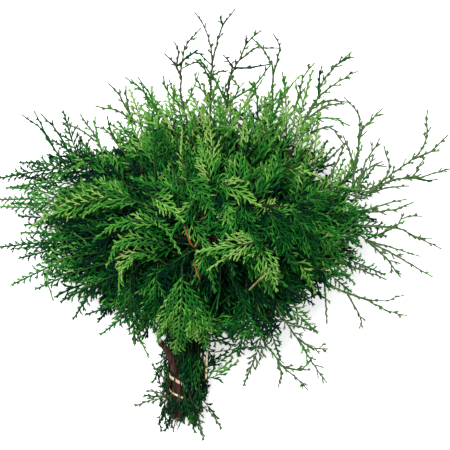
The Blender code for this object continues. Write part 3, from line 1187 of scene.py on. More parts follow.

# Sprays seen from above: tone, longest side shoot, millimetres above the crown's upper side,
# roll, and the pixels that the axis runs through.
# The SHADE rows, sunk below the upper side, are painted shade in the hollows between the sprays.
FRONDS = (
    (BRIGHT, 0.34, 0, 0.2, (165, 178), (158, 145), (150, 112)),
    (LIME, 0.12, 8, 1.1, (190, 192), (183, 160), (183, 128)),
    (BRIGHT, 0.32, 0, -0.2, (150, 165), (138, 142), (128, 118)),
    (GREEN, 0.30, 0, 0.1, (142, 155), (130, 137), (118, 122)),
    (BRIGHT, 0.30, 0, 0.3, (178, 152), (172, 122), (168, 95)),
    (LIME, 0.30, 2, -0.2, (208, 160), (203, 130), (200, 102)),
    (BRIGHT, 0.28, -4, 0.2, (198, 142), (195, 115), (190, 92)),
    (BRIGHT, 0.30, 0, -0.3, (228, 165), (224, 130), (222, 100)),
    (LIME, 0.28, -3, 0.4, (236, 152), (233, 120), (230, 92)),
    (BRIGHT, 0.30, 0, 0.1, (252, 178), (251, 140), (250, 106)),
    (BRIGHT, 0.30, -3, -0.4, (262, 168), (263, 135), (262, 100)),
    (BRIGHT, 0.28, 0, 0.2, (277, 162), (274, 128), (270, 96)),
    (LIME, 0.22, -2, -0.2, (286, 150), (284, 115), (282, 82)),
    (LIME, 0.30, 0, 0.3, (300, 168), (300, 138), (300, 110)),
    (LIME, 0.30, 2, -0.3, (308, 180), (314, 152), (318, 125)),
    (BRIGHT, 0.20, -4, 0.2, (294, 142), (304, 105), (311, 75)),
    (BRIGHT, 0.26, -4, 0.0, (160, 140), (155, 112), (150, 90)),
    (FRESH, 0.34, 0, 0.2, (242, 205), (240, 175), (240, 148)),
    (BRIGHT, 0.34, 3, -0.2, (215, 200), (208, 168), (200, 140)),
    (GREEN, 0.36, 0, 0.1, (270, 212), (274, 178), (275, 150)),
    (FRESH, 0.34, 0, 0.2, (298, 212), (303, 185), (305, 158)),
    (BRIGHT, 0.16, 3, 0.5, (298, 197), (330, 190), (364, 192)),
    (GREEN, 0.34, 3, 0.0, (156, 192), (154, 150), (153, 114)),
    (FRESH, 0.30, 0, 0.3, (132, 192), (118, 170), (104, 150)),
    (GREEN, 0.30, 0, -0.2, (118, 188), (100, 168), (84, 152)),
    (LIME, 0.30, 4, 0.2, (216, 182), (213, 150), (210, 124)),
    (DEEP, 0.22, 0, 0.1, (125, 175), (90, 172), (50, 172), (3, 178)),
    (GREEN, 0.20, 2, 0.2, (132, 202), (85, 196), (40, 200), (2, 197)),
    (FRESH, 0.17, 4, -0.1, (122, 206), (70, 203), (30, 208), (2, 211)),
    (DEEP, 0.30, 0, -0.1, (92, 182), (74, 150), (66, 113)),
    (GREEN, 0.28, -4, 0.2, (112, 178), (92, 158), (84, 142)),
    (FRESH, 0.16, 6, 0.5, (130, 165), (100, 160), (80, 165), (58, 177)),
    (BRIGHT, 0.20, 5, 0.1, (150, 206), (110, 198), (60, 212), (28, 228)),
    (FRESH, 0.34, 4, -0.2, (142, 203), (120, 194), (92, 182)),
    (DEEP, 0.20, 0, 0.1, (125, 236), (70, 238), (2, 248)),
    (GREEN, 0.20, 2, -0.2, (122, 250), (70, 260), (14, 284)),
    (FRESH, 0.16, 3, 0.3, (115, 252), (70, 258), (48, 272), (52, 296)),
    (DEEP, 0.24, 0, 0.1, (130, 268), (92, 284), (62, 300)),
    (DEEP, 0.24, -2, -0.2, (132, 276), (98, 292), (76, 318)),
    (DEEP, 0.22, 0, 0.2, (142, 290), (118, 304), (88, 316)),
    (GREEN, 0.22, 0, -0.1, (148, 300), (125, 318), (103, 335)),
    (BRIGHT, 0.20, 3, 0.2, (152, 308), (140, 332), (150, 357)),
    (SHADE, 0.34, -16, 0.0, (152, 250), (112, 262), (75, 280)),
    (SHADE, 0.32, -16, 0.1, (142, 228), (102, 230), (60, 233)),
    (FRESH, 0.22, 5, 0.6, (178, 238), (150, 223), (122, 223), (98, 238)),
    (FRESH, 0.22, 6, 0.6, (174, 252), (148, 239), (122, 241), (104, 262)),
    (BRIGHT, 0.22, 7, 0.6, (166, 264), (141, 253), (123, 265), (118, 297)),
    (FRESH, 0.15, 8, -0.5, (148, 213), (164, 227), (178, 250)),
    (DEEP, 0.38, 3, 0.1, (134, 256), (130, 290), (137, 336)),
    (DEEP, 0.34, 0, -0.1, (160, 247), (155, 285), (158, 330)),
    (FRESH, 0.45, 10, 0.1, (182, 266), (178, 305), (178, 350)),
    (FRESH, 0.40, 8, -0.2, (192, 284), (200, 315), (208, 346)),
    (FRESH, 0.35, 4, 0.2, (176, 288), (167, 318), (160, 342)),
    (GREEN, 0.30, 0, 0.1, (198, 238), (208, 262), (214, 286)),
    (FRESH, 0.32, 5, -0.1, (188, 212), (200, 234), (216, 256)),
    (BRIGHT, 0.32, 5, 0.1, (148, 194), (165, 204), (184, 219)),
    (BRIGHT, 0.32, 10, 0.1, (272, 240), (240, 243), (202, 251)),
    (BRIGHT, 0.36, 8, 0.0, (256, 236), (268, 262), (276, 288)),
    (BRIGHT, 0.36, 8, 0.1, (212, 181), (234, 189), (257, 206)),
    (FRESH, 0.30, 4, -0.2, (220, 196), (224, 214), (234, 232)),
    (DEEP, 0.36, 2, 0.1, (236, 192), (250, 222), (262, 252)),
    (DEEP, 0.36, 2, -0.1, (260, 198), (276, 230), (290, 264)),
    (DEEP, 0.36, 2, 0.1, (282, 192), (302, 226), (316, 262)),
    (GREEN, 0.34, 2, 0.0, (302, 200), (328, 232), (345, 262)),
    (LIME, 0.08, 9, 1.2, (238, 258), (222, 260), (209, 265)),
    (BRIGHT, 0.26, 4, 0.1, (284, 254), (302, 268), (314, 292)),
    (FRESH, 0.30, 3, 0.1, (298, 232), (324, 238), (348, 247)),
    (SHADE, 0.40, -34, 0.0, (252, 268), (236, 294), (216, 318)),
    (SHADE, 0.40, -38, 0.1, (226, 268), (226, 298), (230, 326)),
    (SHADE, 0.36, -34, -0.1, (206, 262), (209, 290), (213, 318)),
    (DEEP, 0.30, 0, 0.1, (292, 320), (250, 321), (206, 331)),
    (DEEP, 0.36, 0, -0.1, (246, 288), (246, 320), (242, 354)),
    (SHADE, 0.36, 2, 0.0, (268, 282), (288, 290), (314, 302)),
    (FRESH, 0.26, 2, 0.2, (272, 298), (292, 314), (316, 330)),
    (GREEN, 0.26, 0, -0.1, (262, 306), (270, 330), (280, 356)),
    (OLIVE, 0.22, 0, 0.2, (266, 318), (258, 350), (247, 382)),
    (GREEN, 0.30, 2, 0.0, (300, 262), (326, 273), (350, 292)),
    (GREEN, 0.30, 2, 0.1, (300, 215), (336, 214), (374, 210)),
    (GREEN, 0.28, 2, -0.1, (308, 236), (345, 233), (384, 234)),
    (BRIGHT, 0.22, 2, 0.2, (324, 200), (346, 180), (360, 150)),
    (GREEN, 0.20, 0, 0.1, (320, 252), (346, 258), (384, 276)),
    (GREEN, 0.20, 2, -0.1, (330, 200), (356, 194), (392, 181)),
    (DEEP, 0.20, 0, 0.2, (320, 226), (356, 222), (396, 228)),
    (FRESH, 0.26, 2, -0.2, (300, 250), (330, 262), (352, 282)),
    (GREEN, 0.40, 4, 0.1, (252, 192), (238, 214), (224, 240)),
    (DEEP, 0.40, 2, -0.1, (228, 172), (216, 200), (206, 226)),
    (GREEN, 0.36, 3, 0.1, (202, 188), (192, 208), (176, 232)),
    (DEEP, 0.40, 1, 0.0, (248, 216), (226, 224), (202, 230)),
    (GREEN, 0.36, 3, -0.2, (176, 176), (196, 192), (214, 212)),
    (DEEP, 0.40, 0, 0.1, (232, 232), (228, 250), (232, 272)),
    (GREEN, 0.36, 1, 0.1, (222, 240), (206, 256), (196, 280)),
    (DEEP, 0.36, 0, -0.1, (244, 226), (262, 236), (284, 242)),
    (GREEN, 0.32, 2, 0.0, (248, 208), (262, 190), (280, 172)),
    (FRESH, 0.30, 3, 0.1, (226, 206), (228, 186), (232, 160)),
    (DEEP, 0.24, 0, 0.1, (84, 176), (46, 164), (20, 160)),
    (GREEN, 0.20, 3, 0.1, (98, 190), (52, 184), (12, 186)),
    (DEEP, 0.24, -4, -0.1, (100, 214), (56, 218), (22, 216)),
    (GREEN, 0.22, 0, 0.2, (104, 226), (62, 232), (24, 234)),
    (DEEP, 0.24, -3, 0.1, (104, 240), (60, 248), (20, 258)),
    (GREEN, 0.24, 0, -0.1, (110, 262), (74, 274), (36, 288)),
    (DEEP, 0.26, -4, 0.1, (100, 170), (74, 152), (52, 142)),
    (GREEN, 0.34, 0, 0.1, (196, 320), (220, 324), (246, 331)),
    (DEEP, 0.34, -8, -0.1, (192, 322), (212, 335), (232, 347)),
    (DEEP, 0.36, 5, 0.1, (296, 196), (312, 201), (330, 208)),
    (GREEN, 0.30, 6, -0.1, (300, 206), (316, 201), (334, 194)),
    (GREEN, 0.26, -4, 0.1, (312, 180), (324, 164), (334, 150)),
    (FRESH, 0.26, -4, -0.1, (318, 186), (334, 174), (346, 160)),
    (DEEP, 0.28, -8, 0.1, (306, 172), (318, 158), (326, 142)),
    (GREEN, 0.24, -6, 0.0, (330, 192), (346, 180), (358, 168)),
    (FRESH, 0.22, -4, 0.2, (336, 190), (352, 172), (360, 156)),
    (DEEP, 0.30, -12, 0.0, (300, 176), (316, 170), (332, 166)),
    (GREEN, 0.24, -4, 0.1, (342, 196), (360, 184), (376, 168)),
    (DEEP, 0.26, -6, 0.1, (62, 188), (42, 184), (24, 176)),
    (GREEN, 0.24, -4, -0.1, (60, 204), (38, 204), (16, 204)),
    (DEEP, 0.26, -8, 0.0, (66, 222), (44, 222), (26, 226)),
    (DEEP, 0.24, -6, 0.1, (70, 244), (48, 244), (28, 246)),
    (FRESH, 0.20, 0, 0.2, (58, 196), (34, 190), (10, 190)),
    (SHADE, 0.50, -60, 0.0, (205, 213), (222, 224), (240, 236)),
    (SHADE, 0.50, -72, 0.1, (230, 203), (219, 222), (208, 242)),
    (SHADE, 0.50, -84, 0.0, (236, 215), (217, 222), (196, 230)),
    (BRIGHT, 0.30, 0, 0.2, (214, 132), (212, 106), (208, 86)),
    (LIME, 0.26, 0, -0.2, (244, 128), (246, 104), (250, 84)),
    (BRIGHT, 0.28, -2, 0.2, (184, 128), (178, 106), (172, 88)),
    (LIME, 0.26, -2, 0.1, (142, 130), (138, 112), (132, 94)),
    (BRIGHT, 0.26, -2, -0.1, (262, 126), (266, 104), (272, 86)),
    (LIME, 0.26, 0, 0.2, (308, 142), (314, 120), (322, 104)),
)

# Dark hollows seen from above: the middle's pixel and the radius in millimetres.
HOLLOWS = (
    (236, 297, 38), (96, 262, 38), (138, 172, 18), (204, 168, 14), (296, 290, 28), (150, 270, 22),
)  # fmt: skip

# Bare twigs that show between the sprays: name, radius and height above the crown's upper side
# in millimetres, and the pixels that they run through.
BARE_TWIGS = (
    ("red_twig_upper", 1.2, 1, (190, 242), (187, 234), (184, 226)),
    ("red_twig_lower", 1.1, 0, (198, 275), (196, 269), (194, 263)),
    ("pale_twig", 1.0, 2, (263, 276), (257, 282), (249, 290)),
)

# Sprays round the foot, seen from above: tone, longest side shoot, heights of the root and the
# tip in millimetres, and the pixels that the axis runs through.
# The SHADE rows are dark old leaves round the stems, in the SHADE tone, which also paints the shade
# there.
FOOT_SPRAYS = (
    (SHADE, 0.40, 33, 36, (184, 338), (184, 355), (183, 373)),
    (SHADE, 0.40, 34, 37, (191, 338), (191, 357), (189, 378)),
    (DEEP, 0.36, 34, 37, (199, 342), (198, 360), (195, 381)),
    (SHADE, 0.36, 33, 36, (188, 352), (187, 368), (186, 385)),
    (SHADE, 0.34, 33, 35, (196, 362), (196, 376), (193, 390)),
    (DEEP, 0.32, 32, 35, (203, 348), (202, 362), (199, 378)),
    (SHADE, 0.34, 33, 36, (181, 346), (180, 360), (181, 374)),
    (SHADE, 0.36, 31, 33, (204, 340), (210, 354), (214, 366)),
    (SHADE, 0.30, 35, 37, (183, 352), (184, 366), (186, 379)),
    (SHADE, 0.40, 31, 32, (190, 380), (193, 390), (196, 400)),
    (SHADE, 0.40, 31, 32, (186, 384), (188, 393), (192, 404)),
    (SHADE, 0.40, 34, 35, (195, 378), (197, 392), (199, 405)),
    (DEEP, 0.34, 33, 34, (199, 384), (200, 396), (201, 408)),
    (SHADE, 0.40, 35, 35, (179, 394), (176, 404), (172, 414)),
    (SHADE, 0.40, 35, 35, (190, 396), (193, 406), (195, 417)),
    (DEEP, 0.36, 36, 35, (184, 394), (187, 406), (190, 419)),
    (SHADE, 0.40, 35, 35, (172, 392), (170, 401), (168, 410)),
    (SHADE, 0.34, 34, 37, (180, 352), (183, 370), (187, 388)),
    (SHADE, 0.34, 34, 36, (183, 378), (185, 391), (187, 404)),
    (DEEP, 0.30, 35, 37, (187, 340), (190, 360), (192, 382)),
    (FRESH, 0.30, 30, 24, (207, 373), (221, 369), (231, 360)),
    (SHADE, 0.44, 34, 35, (180, 396), (179, 405), (175, 414)),
    (SHADE, 0.40, 34, 34, (189, 400), (187, 410), (184, 420)),
    (FRESH, 0.26, 30, 26, (204, 380), (220, 374), (236, 363)),
    (GREEN, 0.28, 28, 24, (206, 366), (220, 361), (234, 352)),
    (GREEN, 0.12, 28, 22, (216, 352), (236, 349), (257, 347)),
    (SHADE, 0.42, 33, 34, (191, 395), (186, 405), (181, 418)),
    (SHADE, 0.40, 31, 32, (167, 397), (164, 407), (163, 417)),
    (OLIVE, 0.36, 31, 31, (194, 397), (192, 409), (190, 422)),
    (SHADE, 0.44, 33, 34, (186, 394), (180, 402), (171, 408)),
    (OLIVE, 0.28, 28, 24, (171, 402), (156, 399), (138, 405)),
    (OLIVE, 0.30, 28, 24, (170, 398), (160, 393), (150, 391)),
    (OLIVE, 0.32, 28, 25, (167, 384), (162, 376), (154, 367)),
    (SHADE, 0.38, 28, 26, (165, 392), (160, 383), (158, 375)),
    (OLIVE, 0.26, 30, 20, (190, 400), (198, 419), (203, 437)),
    (DEEP, 0.30, 30, 20, (187, 400), (191, 416), (194, 430)),
    (OLIVE, 0.12, 26, 14, (196, 404), (210, 412), (220, 426)),
    (SHADE, 0.10, 22, 12, (163, 410), (159, 420), (161, 429)),
    (SHADE, 0.10, 22, 12, (173, 412), (170, 421), (166, 429)),
)

# Leading shoots seen from above: tone, longest side twig and tip height in millimetres, and
# the pixels that the axis runs through.
LEADERS = (
    (BRONZE, 8, 104, (187, 122), (181, 95), (182, 62), (186, 46), (198, 31)),
    (BRONZE, 5, 100, (181, 78), (176, 66), (168, 57)),
    (BRONZE, 4, 108, (182, 66), (179, 52), (176, 45)),
    (DEEP, 6, 112, (185, 68), (190, 55), (198, 53), (208, 62)),
    (BRONZE, 6, 118, (210, 112), (211, 80), (212, 55), (205, 28), (197, 15)),
    (BRONZE, 7, 120, (212, 60), (218, 40), (223, 25), (233, 12)),
    (DEEP, 4, 112, (222, 28), (221, 22), (221, 17)),
    (OLIVE, 6, 108, (211, 82), (205, 70), (197, 62), (185, 67)),
    (OLIVE, 5, 108, (211, 78), (218, 72), (226, 71)),
    (BRONZE, 8, 96, (228, 108), (229, 82), (240, 58), (248, 42), (258, 33)),
    (DEEP, 4, 98, (246, 48), (246, 42), (246, 37)),
    (OLIVE, 6, 90, (241, 58), (255, 49), (275, 48)),
    (BRONZE, 7, 104, (229, 84), (232, 68), (225, 57)),
    (DEEP, 5, 96, (239, 72), (250, 67), (265, 65)),
    (BRIGHT, 8, 92, (207, 104), (203, 92), (197, 80)),
    (BRIGHT, 8, 90, (216, 106), (214, 92), (219, 78)),
    (BRIGHT, 9, 88, (236, 104), (238, 90), (232, 78)),
    (LIME, 8, 86, (246, 104), (254, 92), (262, 80)),
    (BRIGHT, 8, 84, (258, 106), (256, 92), (250, 82)),
    (LIME, 8, 82, (280, 104), (288, 90), (300, 76)),
    (BRIGHT, 8, 84, (190, 108), (192, 92), (198, 76)),
    (LIME, 7, 80, (172, 108), (174, 94), (170, 82)),
    (BRIGHT, 8, 78, (294, 112), (298, 98), (296, 84)),
    (FRESH, 8, 84, (225, 108), (224, 94), (228, 82)),
    (BRIGHT, 7, 70, (150, 106), (146, 96), (142, 86)),
    (FRESH, 7, 66, (308, 116), (314, 104), (322, 94)),
    (OLIVE, 5, 84, (273, 112), (273, 80), (272, 66), (262, 48), (255, 41)),
    (OLIVE, 6, 92, (273, 72), (279, 52), (278, 42), (275, 37)),
    (FRESH, 8, 88, (240, 102), (255, 85), (268, 68)),
    (FRESH, 8, 100, (228, 104), (216, 82), (204, 64), (197, 60)),
    (OLIVE, 8, 72, (303, 124), (318, 98), (321, 84), (340, 62), (348, 55)),
    (DEEP, 4, 74, (338, 65), (345, 60), (351, 58)),
    (DEEP, 6, 66, (320, 92), (319, 80), (321, 70)),
    (OLIVE, 8, 62, (320, 98), (338, 82), (354, 73)),
    (OLIVE, 5, 58, (316, 104), (330, 101), (346, 102)),
    (OLIVE, 7, 54, (312, 118), (326, 106), (340, 104)),
    (FRESH, 7, 50, (308, 126), (330, 118), (346, 124)),
    (OLIVE, 7, 48, (312, 130), (330, 127), (341, 140)),
    (OLIVE, 8, 70, (290, 118), (300, 95), (303, 78), (312, 66)),
    (FRESH, 8, 76, (286, 108), (285, 90), (283, 76)),
    (OLIVE, 6, 64, (134, 124), (125, 105), (118, 93), (112, 87)),
    (OLIVE, 5, 60, (128, 114), (127, 100), (126, 90)),
    (OLIVE, 6, 56, (137, 121), (118, 111), (100, 107)),
    (FRESH, 7, 78, (158, 114), (145, 93), (129, 80)),
    (FRESH, 6, 82, (160, 110), (150, 95), (140, 80)),
    (FRESH, 7, 88, (176, 112), (168, 92), (164, 80)),
    (DEEP, 7, 40, (64, 166), (52, 145), (36, 115)),
    (DEEP, 7, 36, (56, 148), (40, 128), (25, 117)),
    (DEEP, 7, 44, (66, 152), (57, 132), (44, 117)),
    (OLIVE, 7, 52, (106, 164), (98, 141), (82, 117)),
    (FRESH, 5, 58, (99, 146), (96, 130), (95, 120)),
    (OLIVE, 5, 48, (98, 142), (80, 130), (64, 123)),
    (OLIVE, 6, 58, (124, 152), (108, 132), (100, 128)),
    (DEEP, 7, 62, (126, 148), (111, 131), (108, 120)),
    (OLIVE, 8, 64, (352, 200), (375, 190), (392, 180), (420, 177), (449, 169)),
    (DEEP, 4, 58, (416, 177), (425, 180), (433, 180)),
    (OLIVE, 6, 62, (400, 179), (412, 176), (422, 162)),
    (OLIVE, 7, 72, (372, 196), (395, 172), (415, 157), (426, 140), (427, 115)),
    (OLIVE, 8, 66, (413, 159), (432, 150), (445, 138)),
    (OLIVE, 6, 52, (362, 212), (385, 211), (402, 207), (409, 204)),
    (OLIVE, 6, 56, (364, 206), (386, 204), (403, 200)),
    (OLIVE, 6, 70, (364, 192), (385, 178), (389, 165), (385, 150)),
    (OLIVE, 5, 78, (354, 188), (358, 150), (359, 116), (347, 100)),
    (OLIVE, 12, 74, (357, 144), (364, 128), (379, 112)),
    (OLIVE, 8, 68, (352, 168), (350, 152), (345, 140)),
    (OLIVE, 6, 60, (330, 180), (338, 160), (345, 145)),
    (OLIVE, 5, 54, (322, 164), (332, 156), (341, 147)),
    (OLIVE, 12, 66, (356, 192), (364, 166), (378, 142)),
    (OLIVE, 11, 60, (352, 178), (366, 170), (379, 163)),
    (OLIVE, 6, 54, (366, 192), (386, 188), (406, 186)),
    (OLIVE, 8, 46, (368, 240), (396, 226), (402, 218), (418, 216)),
    (OLIVE, 7, 42, (362, 226), (396, 228), (418, 238), (438, 247)),
    (OLIVE, 5, 40, (410, 236), (418, 237), (428, 238)),
    (OLIVE, 6, 36, (368, 246), (400, 250), (416, 255)),
    (OLIVE, 7, 34, (368, 244), (400, 258), (429, 275)),
    (OLIVE, 10, 38, (368, 246), (385, 257), (398, 274)),
    (OLIVE, 7, 36, (338, 262), (362, 270), (383, 278)),
    (OLIVE, 6, 34, (326, 284), (350, 294), (380, 301), (400, 296)),
    (OLIVE, 7, 30, (342, 292), (370, 302), (388, 311), (403, 315)),
    (OLIVE, 12, 32, (348, 296), (358, 312), (362, 325)),
    (OLIVE, 6, 30, (322, 292), (326, 306), (327, 322)),
    (OLIVE, 11, 28, (276, 306), (290, 328), (304, 348), (312, 362), (325, 380)),
    (OLIVE, 11, 30, (299, 340), (312, 348), (326, 349)),
    (OLIVE, 9, 34, (285, 322), (298, 326), (315, 330)),
    (OLIVE, 11, 26, (262, 340), (281, 364), (296, 378), (305, 387)),
    (OLIVE, 10, 28, (280, 364), (281, 374), (279, 384)),
    (OLIVE, 9, 30, (282, 367), (300, 370), (310, 360)),
)


@dataclass
class Stem:
    """One cut stem, with the relief of its bark."""

    node: str
    sides: int = 18
    stations: int = 150
    relief: float = 0.11

    def __post_init__(self) -> None:
        """Reads the stem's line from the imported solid."""
        self.line = ring_middles(self.node, 8, lambda points: points[:, 1])
        ends = node_points(self.node)
        first = ends[ends[:, 1] < ends[:, 1].min() + 0.002]
        self.radius = float(np.linalg.norm(first - self.line[0], axis=1).max())

    def radii(self, count: int) -> np.ndarray:
        """The stem's radius along its line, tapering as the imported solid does."""
        share = np.linspace(0.0, 1.0, count)
        return self.radius * (1.0 - 0.47 * share**1.4)

    def build(self) -> bpy.types.Object:
        """Rolls a grid into the stem, with ridges and flakes.

        Returns:
            The finished piece.
        """
        route = along_route(self.line, self.stations)
        radii = self.radii(self.stations)
        seed = sum(map(ord, self.node))

        def swell(angle: float, station: int) -> float:
            """How far the bark stands out, as a share of the radius."""
            return self.relief * self._bark(angle, station, seed)

        return rolled(f"{self.node}_bark", route, radii, radii, UP, self.sides, swell)

    def cut_end(self) -> bpy.types.Object:
        """Makes the pale cut face at the stem's foot, a hair proud of the bark.

        Returns:
            The disc, with a soft edge.
        """
        selected_none()
        way = unit(self.line[1] - self.line[0])
        place = self.line[0] - way * 0.0002
        turn = Vector(way).to_track_quat("Z", "Y").to_euler()
        bpy.ops.mesh.primitive_cylinder_add(
            vertices=24, radius=self.radius * 0.86, depth=0.0008, location=place, rotation=turn
        )
        bpy.ops.object.mode_set(mode="EDIT")
        bpy.ops.mesh.select_all(action="SELECT")
        bpy.ops.mesh.bevel(offset=0.0002, segments=2)
        bpy.ops.object.mode_set(mode="OBJECT")
        bpy.ops.object.transform_apply(location=True, rotation=True, scale=True)
        bpy.ops.object.shade_smooth_by_angle(angle=math.radians(40.0))
        return bpy.context.object

    @staticmethod
    def _bark(angle: float, station: int, seed: int) -> float:
        """How far the bark stands out at a place, from about -1 to 1."""
        x, y = math.cos(angle) * 1.7, math.sin(angle) * 1.7
        ridge = noise.noise(Vector((x * 1.6, y * 1.6, station * 0.045 + seed)))
        flake = noise.noise(Vector((x * 3.2, y * 3.2, station * 0.16 + seed * 1.7)))
        knot = noise.noise(Vector((x * 0.5, y * 0.5, station * 0.07 + seed * 0.3)))
        return 1.1 * ridge + 0.7 * flake + 0.8 * max(0.0, knot)


@dataclass
class Foliage:
    """The whole of the foliage: boughs in the masses, fronds, leaders and the foot's tufts."""

    greenery: Greenery
    stems: dict[str, Stem]
    skeleton: Skeleton = field(default_factory=Skeleton)
    leaders: list[np.ndarray] = field(default_factory=list)
    most_triangles: int = 190_000

    def grow(self, names: Sequence[str]) -> None:
        """Grows every mass, frond, leader and tuft.

        Args:
            names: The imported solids' names.
        """
        for stem in self.stems.values():
            self.skeleton.add(along_route(stem.line, 60)[16:])
        boughs = [Bough(name, LAYERS[name.split("_")[0]]) for name in names if "_mass_" in name]
        for bough in boughs:
            self._twig(bough.inner, bough.route[1] - bough.route[0], 0.0024)
        for bough in boughs:
            self.skeleton.add(bough.route)
            bough.grow(self.greenery)
        self._core()
        self._carpet()
        self._shoulder()
        self._mantle()
        self._stem_leaves()
        for row in FRONDS:
            self._frond(*row[:4], row[4:])
        for row in FOOT_SPRAYS:
            self._foot_spray(*row[:4], row[4:])
        self._rim()
        for row in LEADERS:
            self._leader(*row[:3], row[3:])
        for name in names:
            if name.startswith("foot_"):
                self._tuft(ring_middles(name, 6, self._from_tie))

    @staticmethod
    def _from_tie(points: np.ndarray) -> np.ndarray:
        """Distance of each point from the tie, seen from above."""
        return np.linalg.norm((points - TIE_CENTRE)[:, :2], axis=1)

    def _twig(self, root: np.ndarray, aim: np.ndarray, radius: float) -> None:
        """Joins a root to the nearest limb."""
        route = self.skeleton.twig_to(root, aim)
        radii = np.linspace(radius * 1.2, radius, len(route))
        self.greenery.limb(self.greenery.twigs, route, radii)

    def _mantle(self, count: int = 120) -> None:
        """Shingles the crown's upper side with sprays that point outward and hang a little."""
        dice = self.greenery.dice
        for index in range(count):
            turn = index * 2.39996
            out = np.array((math.cos(turn), math.sin(turn), 0.0))
            share = 0.04 + 0.76 * math.sqrt((index + 0.5) / count)
            root = CROWN_CENTRE + out * share * CROWN.reach(CROWN_CENTRE + out)
            aim = turned(out, UP, dice.normal(0.0, 0.45 + 2.4 * max(0.0, 0.32 - share)))
            length = dice.uniform(0.060, 0.095)
            limit = dice.uniform(0.92, 1.08)
            while CROWN.part(root + aim * length) > limit and length > 0.036:
                length -= 0.004
            goal = root + aim * length
            if self._hollow((root + goal) / 2):
                continue
            root[2] = CROWN.height(root) - dice.uniform(0.014, 0.030)
            goal[2] = CROWN.height(goal) - dice.uniform(0.000, 0.014)
            aim = unit(goal - root)
            self._twig(root, aim, 0.0008)
            # Painted light and shade: sprays further out toward the key light's side, up and a little
            # left, lean to lighter tones, and those on the far side to darker ones.
            high = 0.5 + 0.5 * share * float(out @ unit(np.array((-0.35, 1.0, 0.0))))
            tones = (Tone.SHADE, Tone.DEEP, Tone.GREEN, Tone.FRESH, Tone.BRIGHT)
            odds = np.exp(-(((np.arange(5) - 0.7 - 2.7 * high) / 0.75) ** 2))
            face = UP + dice.normal(0.0, 0.30, 3)
            sag = dice.uniform(0.1, 0.7)
            line = swept(root, aim + UP * sag * 0.4, face, length, -0.3 * aim[0], sag)
            tone = tones[int(dice.choice(5, p=odds / odds.sum()))]
            spread, twist = dice.uniform(0.34, 0.44), dice.normal(0.0, 0.3)
            habit = FINGERS if share > 0.55 else NEEDLES
            Spray(line, face, tone, spread, twist=twist, habit=habit).grow(self.greenery)

    @staticmethod
    def _hollow(place: np.ndarray) -> bool:
        """Whether a place lies over one of the dark hollows between the sprays."""
        for x, y, radius in HOLLOWS:
            middle = PHOTO.place(x, y, 0.1)
            if math.dist(middle[:2], place[:2]) < radius / 1000:
                return True
        return False

    def _core(self, count: int = 80) -> None:
        """Fills the middle with short sprays in the SHADE tone, painted shade, that close the view to
        the surface.
        """
        dice = self.greenery.dice
        for _ in range(count):
            turn = dice.uniform(0.0, 2 * math.pi)
            out = np.array((math.cos(turn), math.sin(turn), 0.0))
            root = CROWN_CENTRE + out * 0.12 * math.sqrt(dice.random())
            root[2] = CROWN.height(root) * dice.uniform(0.35, 0.80)
            aim = unit(turned(out, UP, dice.normal(0.0, 0.9)) + UP * dice.normal(0.0, 0.2))
            length = dice.uniform(0.050, 0.080)
            if CROWN.part(root + aim * length) > 0.95:
                continue
            self._twig(root, aim, 0.0010)
            face = UP * 0.7 + dice.normal(0.0, 0.7, 3)
            Spray(
                route=swept(root, aim, face, length, dice.normal(0.0, 0.3), 0.3),
                face=face,
                tone=Tone.SHADE,
                spread=0.48,
                habit=FILLING,
            ).grow(self.greenery)

    def _shoulder(self, count: int = 84) -> None:
        """Fills the crown's shoulder, right under its top, with steep sprays."""
        dice = self.greenery.dice
        for index in range(count):
            turn = index * 2.39996 + 0.7
            out = np.array((math.cos(turn), math.sin(turn), 0.0))
            root = CROWN_CENTRE + out * dice.uniform(0.012, 0.050)
            root[2] = CROWN.height(root) * dice.uniform(0.62, 0.92)
            goal = root + turned(out, UP, dice.normal(0.0, 0.3)) * dice.uniform(0.045, 0.065)
            goal[2] = CROWN.height(goal) * dice.uniform(0.78, 0.95)
            aim = unit(goal - root)
            face = unit(UP * dice.uniform(0.2, 0.8) + np.cross(UP, out) * dice.choice((-1.0, 1.0)))
            line = swept(root, aim, face, float(np.linalg.norm(goal - root)), 0.0, 0.25)
            self._twig(root, aim, 0.0008)
            # Painted shade: these sprays under the top are dealt the dark DEEP and SHADE tones.
            tone = Tone.DEEP if dice.random() < 0.6 else Tone.SHADE
            Spray(line, face, tone, 0.46, habit=FILLING).grow(self.greenery)

    def _carpet(self, count: int = 90) -> None:
        """Lays sprays in the SHADE tone, painted shade, low down, which close the view through the
        crown.
        """
        dice = self.greenery.dice
        for index in range(count):
            turn = index * 2.39996
            out = np.array((math.cos(turn), math.sin(turn), 0.0))
            share = 0.66 * math.sqrt((index + 0.5) / count)
            root = CROWN_CENTRE + out * share * CROWN.reach(CROWN_CENTRE + out)
            root[2] = CROWN.height(root) * dice.uniform(0.30, 0.50)
            aim = turned(out, UP, dice.normal(0.0, 0.6 + 5.0 * max(0.0, 0.35 - share)))
            length = dice.uniform(0.045, 0.075)
            while CROWN.part(root + aim * length) > 0.90 and length > 0.030:
                length -= 0.004
            self._twig(root, aim, 0.0008)
            face = UP + dice.normal(0.0, 0.4, 3)
            line = swept(root, aim, face, length, dice.normal(0.0, 0.2), 0.3)
            Spray(line, face, Tone.SHADE, 0.50, habit=FILLING).grow(self.greenery)

